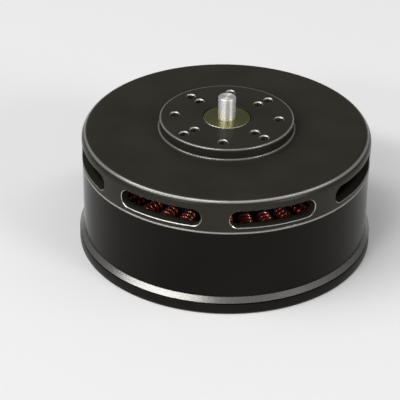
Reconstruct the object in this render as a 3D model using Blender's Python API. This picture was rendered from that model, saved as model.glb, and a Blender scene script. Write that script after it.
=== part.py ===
"""Brushless outrunner motor, a 150 mm class lifting motor.

Metres, +Z up. The shaft axis is the Z axis and the base stands on z = 0.
Sizes are worked out inwards from the bell and upwards from the base rim.
"""
import math

import bmesh
import bpy
import numpy as np

for old_object in list(bpy.data.objects):
    bpy.data.objects.remove(old_object, do_unlink=True)

# Fits
FIT = 0.0003
RUNNING_GAP = 0.0005
AIR_GAP = 0.0008
MERGE = 0.000001
CUT_PAST = 0.0010

# Bell cap
BELL_RADIUS = 0.0730
BELL_WALL = 0.0043
CAP_HEIGHT = 0.0171
TOP_PLATE = 0.0050
EDGE_ROUND = 0.0045
REGISTER_WALL = 0.0025
REGISTER_DEPTH = 0.0018
REGISTER_LEDGE = 0.0010
BOSS_RADIUS = 0.0338
BOSS_HEIGHT = 0.0057
BOSS_EDGE = 0.0003
BOSS_STEP = 0.0007
BOSS_STEP_HEIGHT = 0.0006

# Windows round the bell cap
WINDOW_COUNT = 8
WINDOW_LENGTH = 0.0438
WINDOW_HEIGHT = 0.0092
WINDOW_SILL = 0.0024
WINDOW_CHAMFER = 0.0006
WINDOW_END_STEPS = 3
WINDOW_RUN_STEPS = 5

# Tapped holes in the boss, on four axes and four diagonals
PATTERN_TURN = math.radians(-4.4)
BOSS_HOLE_RADIUS = 0.0021
BOSS_HOLE_DEPTH = 0.0080
BOSS_HOLE_CHAMFER = 0.0005
AXIS_HOLE_CIRCLE = 0.02625
DIAGONAL_OUTER_CIRCLE = 0.0280
DIAGONAL_INNER_CIRCLE = 0.0212

# Can, magnets and lower ring
CAN_STEP = 0.0002
CAN_WALL = 0.0040
CAN_HEIGHT = 0.03625
CAN_EDGE = 0.00045
MAGNET_COUNT = 42
MAGNET_THICKNESS = 0.0045
MAGNET_FILL = 0.82
LOWER_RING_HEIGHT = 0.0026
LOWER_RING_LAND = 0.0002
BASE_OVERHANG = 0.0021

# Stator
TOOTH_COUNT = 36
CORE_BOTTOM = 0.0150
CORE_HEIGHT = 0.0250
SHOE_THICKNESS = 0.0022
SHOE_EDGE = 0.0009
SLOT_MOUTH = 0.0022
BACK_IRON = 0.0120
WIRE_DIAMETER = 0.0019
TURNS_PER_TOOTH = 2
TURN_PITCH = 0.0055
WIRE_TO_SHOE = 0.0033
WIRE_TO_BACK_IRON = 0.0026
COIL_SPACING = 0.0010
END_TURN_RISE = 0.0010
END_TURN_SHARE = 0.55
LEAD_DROP = 0.0026
LINK_STEP = 0.0025
LINK_SPACING = 0.0030
LINK_CLEARANCE = 0.0025
PHASE_COUNT = 3
TEETH_PER_GROUP = 2

# Base plate
BASE_RIM_HEIGHT = 0.00545
BASE_RIM_WIDTH = 0.0081
BASE_EDGE = 0.0004
BASE_FLOOR = 0.0030
HUB_FLOOR = 0.0050
VENT_COUNT = 12
VENT_SPOKE = 0.0185
VENT_EDGE = 0.0045
VENT_DEPTH = 0.0140
VENT_CORNER = 0.0020
VENT_CORNER_SHARE = 0.40
MOUNT_HOLE_COUNT = 6
MOUNT_HOLE_RADIUS = 0.0022
MOUNT_HOLE_EDGE = 0.0030
GROMMET_HOLE_RADIUS = 0.0035
GROMMET_WALL = 0.0012
GROMMET_FLANGE = 0.0016
GROMMET_FLANGE_HEIGHT = 0.0010
GROMMET_ANGLE = math.radians(90)

# Core seat
SEAT_WALL = 0.0047
SEAT_SHOULDER = 0.0018
SEAT_SKIRT = 0.0016

# Shaft, collar and bearings
SHAFT_RADIUS = 0.0060
STUB_RADIUS = 0.0044
STUB_LENGTH = 0.0113
STUB_CHAMFER = 0.0004
SHAFT_BOTTOM = 0.0022
COLLAR_RADIUS = 0.0118
COLLAR_EDGE = 0.0004
COLLAR_SINK = 0.0002
COLLAR_CAP = 0.0018
COLLAR_FLANGE_RADIUS = 0.0200
COLLAR_FLANGE = 0.0032
BEARING_RADIUS = 0.0140
BEARING_WIDTH = 0.0080
RACE_SHOULDER = 0.0020
RACE_GROOVE = 0.0005
GROOVE_HALF_WIDTH = 0.0016
BALL_COUNT = 7
BALL_CAGE = 0.0010
LOWER_BEARING_BOTTOM = 0.0055
UPPER_BEARING_TOP = 0.0495
TUBE_WALL = 0.0032
TUBE_LIP = 0.0005
TUBE_BOTTOM = 0.0010
TUBE_SHOULDER = 0.0014
TUBE_FLANGE_WIDTH = 0.0062
TUBE_FLANGE = 0.0030
SPACER_WALL = 0.0022
CIRCLIP_THICKNESS = 0.0012
CIRCLIP_WIDTH = 0.0028
CIRCLIP_GROOVE_DEPTH = 0.0007
CIRCLIP_MOUTH = math.radians(50)

# Cap screws
SCREW_COUNT = 4
SCREW_RADIUS = 0.00125
SCREW_HEAD_RADIUS = 0.0024
SCREW_HEAD_HEIGHT = 0.0025
SCREW_SOCKET_RADIUS = 0.0012
SCREW_SOCKET_DEPTH = 0.0013
COLLAR_SCREW_REACH = 0.0055
TUBE_SCREW_REACH = 0.0030

# Facets
LARGE_STEPS = 40
SEAT_STEPS = 32
SMALL_STEPS = 20
BEARING_STEPS = 16
TINY_STEPS = 8
BALL_STEPS = (6, 4)
VENT_STEPS = (2, 1)
LINK_STEPS = 3

# Heights, upwards from the base rim
ring_bottom = BASE_RIM_HEIGHT + RUNNING_GAP
ring_top = ring_bottom + LOWER_RING_HEIGHT
can_bottom = ring_top + FIT
can_top = can_bottom + CAN_HEIGHT
cap_bottom = can_top + FIT
cap_top = cap_bottom + CAP_HEIGHT
cap_underside = cap_top - TOP_PLATE
boss_top = cap_top + BOSS_HEIGHT
shaft_top = boss_top + STUB_LENGTH
core_top = CORE_BOTTOM + CORE_HEIGHT

# Radii, inwards from the bell
can_radius = BELL_RADIUS - CAN_STEP
can_inner = can_radius - CAN_WALL
register_radius = can_inner - FIT
register_inner = register_radius - REGISTER_WALL
base_radius = BELL_RADIUS + BASE_OVERHANG
magnet_face = can_inner - MAGNET_THICKNESS
stator_radius = magnet_face - AIR_GAP
outer_turn = stator_radius - SHOE_THICKNESS - WIRE_TO_SHOE
turn_radii = [outer_turn - TURN_PITCH * step for step in reversed(range(TURNS_PER_TOOTH))]
slot_bottom = turn_radii[0] - WIRE_TO_BACK_IRON
core_bore = slot_bottom - BACK_IRON
tooth_pitch = 2 * math.pi / TOOTH_COUNT
half_slot = turn_radii[0] * math.sin(tooth_pitch / 2)
tooth_half_width = half_slot - WIRE_DIAMETER - FIT - COIL_SPACING / 2
seat_radius = core_bore - FIT
seat_bore = seat_radius - SEAT_WALL
shoulder_radius = seat_radius + SEAT_SHOULDER
hub_radius = shoulder_radius - SEAT_SKIRT - FIT
mount_circle = seat_bore - MOUNT_HOLE_EDGE

# Radii, outwards from the shaft
race_bore = SHAFT_RADIUS + FIT
bearing_bore = BEARING_RADIUS + FIT
tube_radius = bearing_bore + TUBE_WALL
flange_radius = tube_radius + TUBE_FLANGE_WIDTH
tube_screw_circle = (tube_radius + flange_radius) / 2
collar_bore = COLLAR_RADIUS + FIT
collar_screw_circle = (COLLAR_RADIUS + COLLAR_FLANGE_RADIUS) / 2
collar_flange_top = cap_underside - FIT
collar_flange_bottom = collar_flange_top - COLLAR_FLANGE
collar_top = boss_top - COLLAR_SINK
stub_bottom = collar_top - COLLAR_CAP - FIT


def finish(name, colour, roughness, metallic):
    """A plain material: base colour, roughness and metallic value."""
    material = bpy.data.materials.new(name)
    material.use_nodes = True
    shader = material.node_tree.nodes["Principled BSDF"]
    shader.inputs["Base Color"].default_value = (*colour, 1.0)
    shader.inputs["Roughness"].default_value = roughness
    shader.inputs["Metallic"].default_value = metallic
    return material


def frame_empty(name):
    """An empty on the shaft axis that carries the pieces of one body."""
    empty = bpy.data.objects.new(name, None)
    bpy.context.collection.objects.link(empty)
    return empty


def make_object(name, mesh, material, parent):
    """Turn a finished bmesh into a smooth-shaded object with its material and parent."""
    bmesh.ops.recalc_face_normals(mesh, faces=mesh.faces)
    data = bpy.data.meshes.new(name)
    mesh.to_mesh(data)
    mesh.free()
    data.shade_smooth()
    data.set_sharp_from_angle(angle=math.radians(32))
    if material is not None:
        data.materials.append(material)
    piece = bpy.data.objects.new(name, data)
    bpy.context.collection.objects.link(piece)
    piece.parent = parent
    return piece


def add_turned(mesh, profile, steps, centre=(0.0, 0.0)):
    """Spin a profile of (radius, height) points about a vertical axis at centre.

    A profile that starts and ends on the axis stays open there; any other is closed.
    """
    x, y = centre
    points = [mesh.verts.new((x + radius, y, height)) for radius, height in profile]
    edges = [mesh.edges.new(pair) for pair in zip(points, points[1:])]
    if profile[0][0] > 0:
        edges.append(mesh.edges.new((points[-1], points[0])))
    bmesh.ops.spin(mesh, geom=points + edges, axis=(0, 0, 1), cent=(x, y, 0),
                   steps=steps, angle=2 * math.pi, use_merge=True)
    bmesh.ops.remove_doubles(mesh, verts=mesh.verts, dist=MERGE)


def turned(name, profile, steps, material, parent, centre=(0.0, 0.0)):
    """One lathe-turned piece."""
    mesh = bmesh.new()
    add_turned(mesh, profile, steps, centre)
    return make_object(name, mesh, material, parent)


def add_prism(mesh, outline, bottom, top):
    """Extrude a closed outline of (x, y) points from bottom to top, and return its walls."""
    corners = [mesh.verts.new((x, y, bottom)) for x, y in outline]
    floor = mesh.faces.new(corners)
    raised = bmesh.ops.extrude_face_region(mesh, geom=[floor])["geom"]
    lifted = [item for item in raised if isinstance(item, bmesh.types.BMVert)]
    bmesh.ops.translate(mesh, verts=lifted, vec=(0, 0, top - bottom))
    return [edge for corner in corners for edge in corner.link_edges
            if abs(edge.verts[0].co.z - edge.verts[1].co.z) > MERGE]


def polar(radius, angle):
    """A point of the plan at a radius and an angle from +X."""
    return (radius * math.cos(angle), radius * math.sin(angle))


def ring_angles(count, turn=0.0):
    """Equal angles round the axis."""
    return [turn + 2 * math.pi * index / count for index in range(count)]


def arc(radius, start, end, steps):
    """Points along an arc of the plan, both ends included."""
    return [polar(radius, start + (end - start) * step / steps) for step in range(steps + 1)]


def cut(piece, pattern, cutter_mesh):
    """Subtract one pattern, a mesh of separate closed tools, from a piece."""
    cutter = make_object("%s_%s_cutter" % (piece.name, pattern), cutter_mesh, None, None)
    cutter.hide_render = True
    cutter.display_type = "WIRE"
    boolean = piece.modifiers.new(pattern, "BOOLEAN")
    boolean.operation = "DIFFERENCE"
    boolean.solver = "EXACT"
    boolean.object = cutter


def window_stations(grow):
    """Half heights of an obround window along the wall, as (arc length, half height)."""
    end_radius = WINDOW_HEIGHT / 2 + grow
    run = WINDOW_LENGTH / 2 - WINDOW_HEIGHT / 2
    quarter = [math.pi / 2 * step / WINDOW_END_STEPS for step in range(WINDOW_END_STEPS + 1)]
    left = [(-run - end_radius * math.cos(turn), end_radius * math.sin(turn)) for turn in quarter]
    straight = [(-run + 2 * run * step / WINDOW_RUN_STEPS, end_radius)
                for step in range(1, WINDOW_RUN_STEPS)]
    right = [(-along, height) for along, height in reversed(left)]
    return left + straight + right


def add_window(mesh, centre_angle):
    """A window tool: straight through the wall, then flared into the outer chamfer."""
    middle = cap_bottom + WINDOW_SILL + WINDOW_HEIGHT / 2
    layers = [(BELL_RADIUS - BELL_WALL - CUT_PAST, 0.0),
              (BELL_RADIUS - WINDOW_CHAMFER, 0.0),
              (BELL_RADIUS + CUT_PAST, WINDOW_CHAMFER + CUT_PAST)]
    loops = []
    for radius, grow in layers:
        upper = []
        lower = []
        for along, half_height in window_stations(grow):
            x, y = polar(radius, centre_angle + along / BELL_RADIUS)
            upper.append(mesh.verts.new((x, y, middle + half_height)))
            pointed = half_height < MERGE
            lower.append(upper[-1] if pointed else mesh.verts.new((x, y, middle - half_height)))
        loops.append((upper, lower))
    last = len(loops[0][0]) - 1
    for upper, lower in (loops[0], loops[-1]):
        for index in range(last):
            corners = [upper[index], upper[index + 1], lower[index + 1], lower[index]]
            mesh.faces.new(list(dict.fromkeys(corners)))
    for (upper, lower), (next_upper, next_lower) in zip(loops, loops[1:]):
        for index in range(last):
            mesh.faces.new((upper[index], upper[index + 1], next_upper[index + 1], next_upper[index]))
            mesh.faces.new((lower[index], lower[index + 1], next_lower[index + 1], next_lower[index]))


def boss_hole_places():
    """Centres of the twelve tapped holes: one on each axis, two on each diagonal."""
    places = [polar(AXIS_HOLE_CIRCLE, angle) for angle in ring_angles(4, PATTERN_TURN)]
    for angle in ring_angles(4, PATTERN_TURN + math.pi / 4):
        places.append(polar(DIAGONAL_OUTER_CIRCLE, angle))
        places.append(polar(DIAGONAL_INNER_CIRCLE, angle))
    return places


def build_bell_cap(parent):
    """The turned cap: top plate, boss, windowed wall and the register that enters the can."""
    wall_inner = BELL_RADIUS - BELL_WALL
    register_bottom = cap_bottom - REGISTER_DEPTH
    ledge = cap_bottom + REGISTER_LEDGE
    step_radius = BOSS_RADIUS + BOSS_STEP
    step_top = cap_top + BOSS_STEP_HEIGHT
    profile = [(collar_bore, cap_underside), (wall_inner, cap_underside), (wall_inner, ledge),
               (register_inner, ledge), (register_inner, register_bottom),
               (register_radius, register_bottom), (register_radius, cap_bottom),
               (BELL_RADIUS, cap_bottom)]
    for step in range(4):
        turn = math.pi / 2 * step / 3
        profile.append((BELL_RADIUS - EDGE_ROUND * (1 - math.cos(turn)),
                        cap_top - EDGE_ROUND * (1 - math.sin(turn))))
    profile += [(step_radius, cap_top), (step_radius, step_top), (BOSS_RADIUS, step_top),
                (BOSS_RADIUS, boss_top - BOSS_EDGE), (BOSS_RADIUS - BOSS_EDGE, boss_top),
                (collar_bore, boss_top)]
    cap = turned("bell_cap", profile, LARGE_STEPS, black_anodised, parent)
    windows = bmesh.new()
    for angle in ring_angles(WINDOW_COUNT, PATTERN_TURN + math.pi / WINDOW_COUNT):
        add_window(windows, angle)
    cut(cap, "windows", windows)
    tapped_holes = bmesh.new()
    rim = BOSS_HOLE_RADIUS + BOSS_HOLE_CHAMFER
    hole = [(0.0, boss_top - BOSS_HOLE_DEPTH), (BOSS_HOLE_RADIUS, boss_top - BOSS_HOLE_DEPTH),
            (BOSS_HOLE_RADIUS, boss_top - BOSS_HOLE_CHAMFER), (rim, boss_top),
            (rim, boss_top + CUT_PAST), (0.0, boss_top + CUT_PAST)]
    for place in boss_hole_places():
        add_turned(tapped_holes, hole, TINY_STEPS, place)
    cut(cap, "tapped_holes", tapped_holes)
    screw_holes = bmesh.new()
    screw_hole = SCREW_RADIUS + FIT
    reach = cap_underside + COLLAR_SCREW_REACH + FIT
    blind = [(0.0, cap_underside - CUT_PAST), (screw_hole, cap_underside - CUT_PAST),
             (screw_hole, reach), (0.0, reach)]
    for angle in ring_angles(SCREW_COUNT, PATTERN_TURN):
        add_turned(screw_holes, blind, TINY_STEPS, polar(collar_screw_circle, angle))
    cut(cap, "screw_holes", screw_holes)


def build_can(parent):
    """The steel can with its magnets bonded inside, north and south poles in turn."""
    magnet_bottom = can_bottom + REGISTER_DEPTH + FIT
    magnet_top = can_top - REGISTER_DEPTH - FIT
    levels = (can_bottom, magnet_bottom, magnet_top, can_top)
    half_magnet = math.pi / MAGNET_COUNT * MAGNET_FILL
    mesh = bmesh.new()
    outer = []
    inner = []
    face = []
    for angle in ring_angles(MAGNET_COUNT):
        for edge_angle in (angle - half_magnet, angle + half_magnet):
            x, y = polar(can_radius, edge_angle)
            wall = [mesh.verts.new((x, y, z)) for z in (can_bottom, can_top - CAN_EDGE)]
            x, y = polar(can_radius - CAN_EDGE, edge_angle)
            outer.append(wall + [mesh.verts.new((x, y, can_top))])
            x, y = polar(can_inner, edge_angle)
            inner.append([mesh.verts.new((x, y, z)) for z in levels])
            x, y = polar(magnet_face, edge_angle)
            face.append([mesh.verts.new((x, y, z)) for z in (magnet_bottom, magnet_top)])
    for index in range(len(outer)):
        after = (index + 1) % len(outer)
        a, b = outer[index], outer[after]
        c, d = inner[index], inner[after]
        mesh.faces.new((a[0], b[0], b[1], a[1]))
        mesh.faces.new((a[1], b[1], b[2], a[2]))
        mesh.faces.new((a[2], b[2], d[3], c[3]))
        mesh.faces.new((a[0], b[0], d[0], c[0]))
        mesh.faces.new((c[0], d[0], d[1], c[1]))
        mesh.faces.new((c[2], d[2], d[3], c[3]))
        if index % 2:
            mesh.faces.new((c[1], d[1], d[2], c[2]))
            continue
        e, f = face[index], face[after]
        mesh.faces.new((e[0], f[0], f[1], e[1]))
        mesh.faces.new((c[1], d[1], f[0], e[0]))
        mesh.faces.new((c[2], d[2], f[1], e[1]))
        mesh.faces.new((c[1], c[2], e[1], e[0]))
        mesh.faces.new((d[1], d[2], f[1], f[0]))
    make_object("flux_ring", mesh, can_steel, parent)


def build_lower_ring(parent):
    """The ring that closes the can: a bright conical chamfer and a register inside."""
    register_top = can_bottom + REGISTER_DEPTH
    profile = [(register_inner, ring_bottom), (base_radius, ring_bottom),
               (base_radius, ring_bottom + LOWER_RING_LAND), (can_radius, ring_top),
               (register_radius, ring_top), (register_radius, register_top),
               (register_inner, register_top)]
    turned("lower_ring", profile, LARGE_STEPS, bright_chamfer, parent)


def screw_profile(seat, reach, upwards):
    """A cap screw on the axis: its head stands off the seat and its shank goes the other way."""
    way = 1.0 if upwards else -1.0
    head_start = seat - way * FIT
    head_end = head_start - way * SCREW_HEAD_HEIGHT
    socket = head_end + way * SCREW_SOCKET_DEPTH
    return [(0.0, seat + way * reach), (SCREW_RADIUS, seat + way * reach), (SCREW_RADIUS, head_start),
            (SCREW_HEAD_RADIUS, head_start), (SCREW_HEAD_RADIUS, head_end),
            (SCREW_SOCKET_RADIUS, head_end), (SCREW_SOCKET_RADIUS, socket), (0.0, socket)]


def build_shaft_set(parent):
    """The shaft, its collar with the four screws, the spacer and the circlip."""
    groove_radius = SHAFT_RADIUS - CIRCLIP_GROOVE_DEPTH
    groove_top = LOWER_BEARING_BOTTOM
    groove_bottom = groove_top - CIRCLIP_THICKNESS - 2 * FIT
    profile = [(0.0, SHAFT_BOTTOM), (SHAFT_RADIUS - STUB_CHAMFER, SHAFT_BOTTOM),
               (SHAFT_RADIUS, SHAFT_BOTTOM + STUB_CHAMFER), (SHAFT_RADIUS, groove_bottom),
               (groove_radius, groove_bottom), (groove_radius, groove_top),
               (SHAFT_RADIUS, groove_top), (SHAFT_RADIUS, stub_bottom), (STUB_RADIUS, stub_bottom),
               (STUB_RADIUS, shaft_top - STUB_CHAMFER), (STUB_RADIUS - STUB_CHAMFER, shaft_top),
               (0.0, shaft_top)]
    turned("shaft", profile, SMALL_STEPS, bright_steel, parent)

    step = stub_bottom + FIT
    profile = [(race_bore, collar_flange_bottom), (COLLAR_FLANGE_RADIUS, collar_flange_bottom),
               (COLLAR_FLANGE_RADIUS, collar_flange_top), (COLLAR_RADIUS, collar_flange_top),
               (COLLAR_RADIUS, collar_top - COLLAR_EDGE), (COLLAR_RADIUS - COLLAR_EDGE, collar_top),
               (STUB_RADIUS + FIT, collar_top), (STUB_RADIUS + FIT, step), (race_bore, step)]
    collar = turned("shaft_collar", profile, SMALL_STEPS, olive_metal, parent)
    screw_holes = bmesh.new()
    hole = [(0.0, collar_flange_bottom - CUT_PAST), (SCREW_RADIUS + FIT, collar_flange_bottom - CUT_PAST),
            (SCREW_RADIUS + FIT, collar_flange_top + CUT_PAST), (0.0, collar_flange_top + CUT_PAST)]
    screw = screw_profile(collar_flange_bottom, COLLAR_FLANGE + COLLAR_SCREW_REACH, True)
    for number, angle in enumerate(ring_angles(SCREW_COUNT, PATTERN_TURN), start=1):
        place = polar(collar_screw_circle, angle)
        add_turned(screw_holes, hole, TINY_STEPS, place)
        turned("collar_screw_%d" % number, screw, TINY_STEPS, screw_steel, parent, place)
    cut(collar, "screw_holes", screw_holes)

    spacer_outer = race_bore + SPACER_WALL
    profile = [(race_bore, UPPER_BEARING_TOP + FIT), (spacer_outer, UPPER_BEARING_TOP + FIT),
               (spacer_outer, collar_flange_bottom - FIT), (race_bore, collar_flange_bottom - FIT)]
    turned("shaft_spacer", profile, BEARING_STEPS, bright_steel, parent)

    clip_inner = groove_radius + FIT
    clip_outer = clip_inner + CIRCLIP_WIDTH
    start = CIRCLIP_MOUTH / 2
    end = 2 * math.pi - start
    mesh = bmesh.new()
    outline = arc(clip_outer, start, end, BEARING_STEPS) + arc(clip_inner, end, start, BEARING_STEPS)
    add_prism(mesh, outline, groove_bottom + FIT, groove_top - FIT)
    make_object("shaft_circlip", mesh, screw_steel, parent)


def build_bearing(name, bottom, stator, rotor, ball_axis):
    """One deep-groove bearing: an outer race, an inner race and the caged balls between."""
    top = bottom + BEARING_WIDTH
    middle = (bottom + top) / 2
    outer_shoulder = BEARING_RADIUS - RACE_SHOULDER
    inner_shoulder = race_bore + RACE_SHOULDER
    pitch = (outer_shoulder + inner_shoulder) / 2
    ball = (outer_shoulder - inner_shoulder) / 2 + RACE_GROOVE - FIT
    groove = [(middle + GROOVE_HALF_WIDTH, 0.0), (middle, RACE_GROOVE), (middle - GROOVE_HALF_WIDTH, 0.0)]
    outer = [(BEARING_RADIUS, bottom), (BEARING_RADIUS, top), (outer_shoulder, top)]
    outer += [(outer_shoulder + depth, height) for height, depth in groove]
    outer.append((outer_shoulder, bottom))
    turned("outer_race_" + name, outer, BEARING_STEPS, bright_steel, stator)
    inner = [(race_bore, bottom), (race_bore, top), (inner_shoulder, top)]
    inner += [(inner_shoulder - depth, height) for height, depth in groove]
    inner.append((inner_shoulder, bottom))
    turned("inner_race_" + name, inner, BEARING_STEPS, bright_steel, rotor)
    half_cage = BALL_CAGE / 2
    cage = [(pitch - half_cage, middle - half_cage), (pitch + half_cage, middle - half_cage),
            (pitch + half_cage, middle + half_cage), (pitch - half_cage, middle + half_cage)]
    ring = turned("ball_set_" + name, cage, 2 * BALL_COUNT, brass_cage, ball_axis)
    balls = bmesh.new()
    for angle in ring_angles(BALL_COUNT):
        made = bmesh.ops.create_uvsphere(balls, u_segments=BALL_STEPS[0], v_segments=BALL_STEPS[1],
                                          radius=ball)
        bmesh.ops.translate(balls, verts=made["verts"], vec=(*polar(pitch, angle), middle))
    tool = make_object("ball_set_%s_balls" % name, balls, None, None)
    tool.hide_render = True
    tool.display_type = "WIRE"
    join = ring.modifiers.new("balls", "BOOLEAN")
    join.operation = "UNION"
    join.solver = "EXACT"
    join.object = tool


def build_bearing_tube(parent):
    """The flanged tube that holds both bearings, and the screws that hold it to the base."""
    lower_stop = LOWER_BEARING_BOTTOM + BEARING_WIDTH + FIT
    upper_stop = UPPER_BEARING_TOP - BEARING_WIDTH - FIT
    tube_top = UPPER_BEARING_TOP + TUBE_LIP
    shoulder = bearing_bore - TUBE_SHOULDER
    flange_bottom = HUB_FLOOR + FIT
    flange_top = flange_bottom + TUBE_FLANGE
    profile = [(bearing_bore, TUBE_BOTTOM), (tube_radius, TUBE_BOTTOM), (tube_radius, flange_bottom),
               (flange_radius, flange_bottom), (flange_radius, flange_top), (tube_radius, flange_top),
               (tube_radius, tube_top), (bearing_bore, tube_top), (bearing_bore, upper_stop),
               (shoulder, upper_stop), (shoulder, lower_stop), (bearing_bore, lower_stop)]
    tube = turned("bearing_tube", profile, BEARING_STEPS, machined_aluminium, parent)
    screw_holes = bmesh.new()
    hole = [(0.0, flange_bottom - CUT_PAST), (SCREW_RADIUS + FIT, flange_bottom - CUT_PAST),
            (SCREW_RADIUS + FIT, flange_top + CUT_PAST), (0.0, flange_top + CUT_PAST)]
    screw = screw_profile(flange_top, TUBE_FLANGE + TUBE_SCREW_REACH, False)
    for number, angle in enumerate(ring_angles(SCREW_COUNT), start=1):
        place = polar(tube_screw_circle, angle)
        add_turned(screw_holes, hole, TINY_STEPS, place)
        turned("tube_screw_%d" % number, screw, TINY_STEPS, screw_steel, parent, place)
    cut(tube, "screw_holes", screw_holes)


def build_base_plate(parent):
    """The base: a raised mounting hub, a vented floor and a plain rim."""
    hub_bore = tube_radius + FIT
    rim_inner = base_radius - BASE_RIM_WIDTH
    profile = [(hub_bore, 0.0), (base_radius - BASE_EDGE, 0.0), (base_radius, BASE_EDGE),
               (base_radius, BASE_RIM_HEIGHT), (rim_inner, BASE_RIM_HEIGHT), (rim_inner, BASE_FLOOR),
               (hub_radius, BASE_FLOOR), (hub_radius, HUB_FLOOR), (hub_bore, HUB_FLOOR)]
    base = turned("base_plate", profile, LARGE_STEPS, black_base, parent)
    screw_holes = bmesh.new()
    blind_bottom = HUB_FLOOR - TUBE_SCREW_REACH - FIT
    blind = [(0.0, blind_bottom), (SCREW_RADIUS + FIT, blind_bottom),
             (SCREW_RADIUS + FIT, HUB_FLOOR + CUT_PAST), (0.0, HUB_FLOOR + CUT_PAST)]
    for angle in ring_angles(SCREW_COUNT):
        add_turned(screw_holes, blind, TINY_STEPS, polar(tube_screw_circle, angle))
    cut(base, "screw_holes", screw_holes)
    openings = bmesh.new()
    vent_outer = rim_inner - VENT_EDGE
    vent_inner = vent_outer - VENT_DEPTH
    for angle in ring_angles(VENT_COUNT, math.pi / VENT_COUNT):
        outer_half = math.pi / VENT_COUNT - math.asin(VENT_SPOKE / 2 / vent_outer)
        inner_half = math.pi / VENT_COUNT - math.asin(VENT_SPOKE / 2 / vent_inner)
        outline = arc(vent_outer, angle - outer_half, angle + outer_half, VENT_STEPS[0])
        outline += arc(vent_inner, angle + inner_half, angle - inner_half, VENT_STEPS[1])
        narrow_end = 2 * vent_inner * math.sin(inner_half)
        corner = min(VENT_CORNER, VENT_CORNER_SHARE * narrow_end)
        walls = add_prism(openings, outline, -CUT_PAST, BASE_FLOOR + CUT_PAST)
        sharp = [edge for edge in walls if edge.calc_face_angle() > math.radians(50)]
        bmesh.ops.bevel(openings, geom=sharp, offset=corner, segments=2, affect="EDGES", profile=0.5)
    outlet = polar((vent_outer + vent_inner) / 2, GROMMET_ANGLE)
    lead_hole = [(0.0, -CUT_PAST), (GROMMET_HOLE_RADIUS, -CUT_PAST),
                 (GROMMET_HOLE_RADIUS, BASE_FLOOR + CUT_PAST), (0.0, BASE_FLOOR + CUT_PAST)]
    add_turned(openings, lead_hole, 2 * TINY_STEPS, outlet)
    through = [(0.0, -CUT_PAST), (MOUNT_HOLE_RADIUS, -CUT_PAST),
               (MOUNT_HOLE_RADIUS, HUB_FLOOR + CUT_PAST), (0.0, HUB_FLOOR + CUT_PAST)]
    for angle in ring_angles(MOUNT_HOLE_COUNT, math.pi / 2):
        add_turned(openings, through, TINY_STEPS, polar(mount_circle, angle))
    cut(base, "openings", openings)

    body = GROMMET_HOLE_RADIUS - FIT
    flange = GROMMET_HOLE_RADIUS + GROMMET_FLANGE
    seat = BASE_FLOOR + FIT
    profile = [(body - GROMMET_WALL, FIT), (body, FIT), (body, seat), (flange, seat),
               (flange, seat + GROMMET_FLANGE_HEIGHT), (body - GROMMET_WALL, seat + GROMMET_FLANGE_HEIGHT)]
    turned("lead_grommet", profile, 2 * TINY_STEPS, soft_rubber, parent, outlet)


def build_core_seat(parent):
    """The turned seat that carries the core: a skirt round the hub, a shoulder and a plain sleeve."""
    skirt_inner = hub_radius + FIT
    skirt_bottom = BASE_FLOOR + FIT
    foot = HUB_FLOOR + FIT
    shoulder_top = CORE_BOTTOM - FIT
    profile = [(seat_bore, foot), (skirt_inner, foot), (skirt_inner, skirt_bottom),
               (shoulder_radius, skirt_bottom), (shoulder_radius, shoulder_top),
               (seat_radius, shoulder_top), (seat_radius, core_top), (seat_bore, core_top)]
    turned("core_seat", profile, SEAT_STEPS, machined_aluminium, parent)


def tooth_outline(angle):
    """The outer outline of one tooth, from one slot middle to the next, as (x, y) points."""
    tip_half = tooth_pitch / 2 - SLOT_MOUTH / 2 / stator_radius
    shoe_inner = stator_radius - SHOE_THICKNESS
    root = math.asin(tooth_half_width / slot_bottom)
    neck = math.asin(tooth_half_width / shoe_inner)
    steps = [(slot_bottom, tooth_pitch / 2), (slot_bottom, root), (shoe_inner, neck),
             (stator_radius - SHOE_EDGE, tip_half), (stator_radius, tip_half)]
    before = [polar(radius, angle - turn) for radius, turn in steps]
    after = [polar(radius, angle + turn) for radius, turn in reversed(steps)]
    return before + after


def build_stator_core(parent):
    """The laminated core: back iron and teeth with their shoes, one slot pitch at a time."""
    mesh = bmesh.new()
    for angle in ring_angles(TOOTH_COUNT):
        outer = tooth_outline(angle)
        bore = [polar(core_bore, angle + tooth_pitch / 2), polar(core_bore, angle - tooth_pitch / 2)]
        outline = outer + bore
        lower = [mesh.verts.new((x, y, CORE_BOTTOM)) for x, y in outline]
        upper = [mesh.verts.new((x, y, core_top)) for x, y in outline]
        mesh.faces.new(lower)
        mesh.faces.new(upper)
        walls = list(range(len(outer) - 1)) + [len(outer)]
        for index in walls:
            mesh.faces.new((lower[index], lower[index + 1], upper[index + 1], upper[index]))
    bmesh.ops.remove_doubles(mesh, verts=mesh.verts, dist=MERGE)
    make_object("stator_core", mesh, coated_core, parent)


def tooth_point(tooth, radius, across, height):
    """A point by a tooth: along its middle line, across it, and up."""
    angle = tooth * tooth_pitch
    x = radius * math.cos(angle) - across * math.sin(angle)
    y = radius * math.sin(angle) + across * math.cos(angle)
    return (x, y, height)


def coil_points(tooth, entry_height, under_turn, under_lead):
    """The turns round one tooth, wound outwards, ending below the next turn's crossing."""
    side = tooth_half_width + FIT + WIRE_DIAMETER / 2
    leg_top = core_top + FIT
    end_top = leg_top + WIRE_DIAMETER / 2 + END_TURN_RISE
    narrow = side * END_TURN_SHARE
    points = []
    for number, radius in enumerate(turn_radii):
        start = under_turn if number else entry_height
        end = under_lead if number == len(turn_radii) - 1 else under_turn
        turn = [(-side, start), (-side, leg_top), (-narrow, end_top), (narrow, end_top),
                (side, leg_top), (side, end)]
        points += [tooth_point(tooth, radius, across, height) for across, height in turn]
    return points


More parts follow.
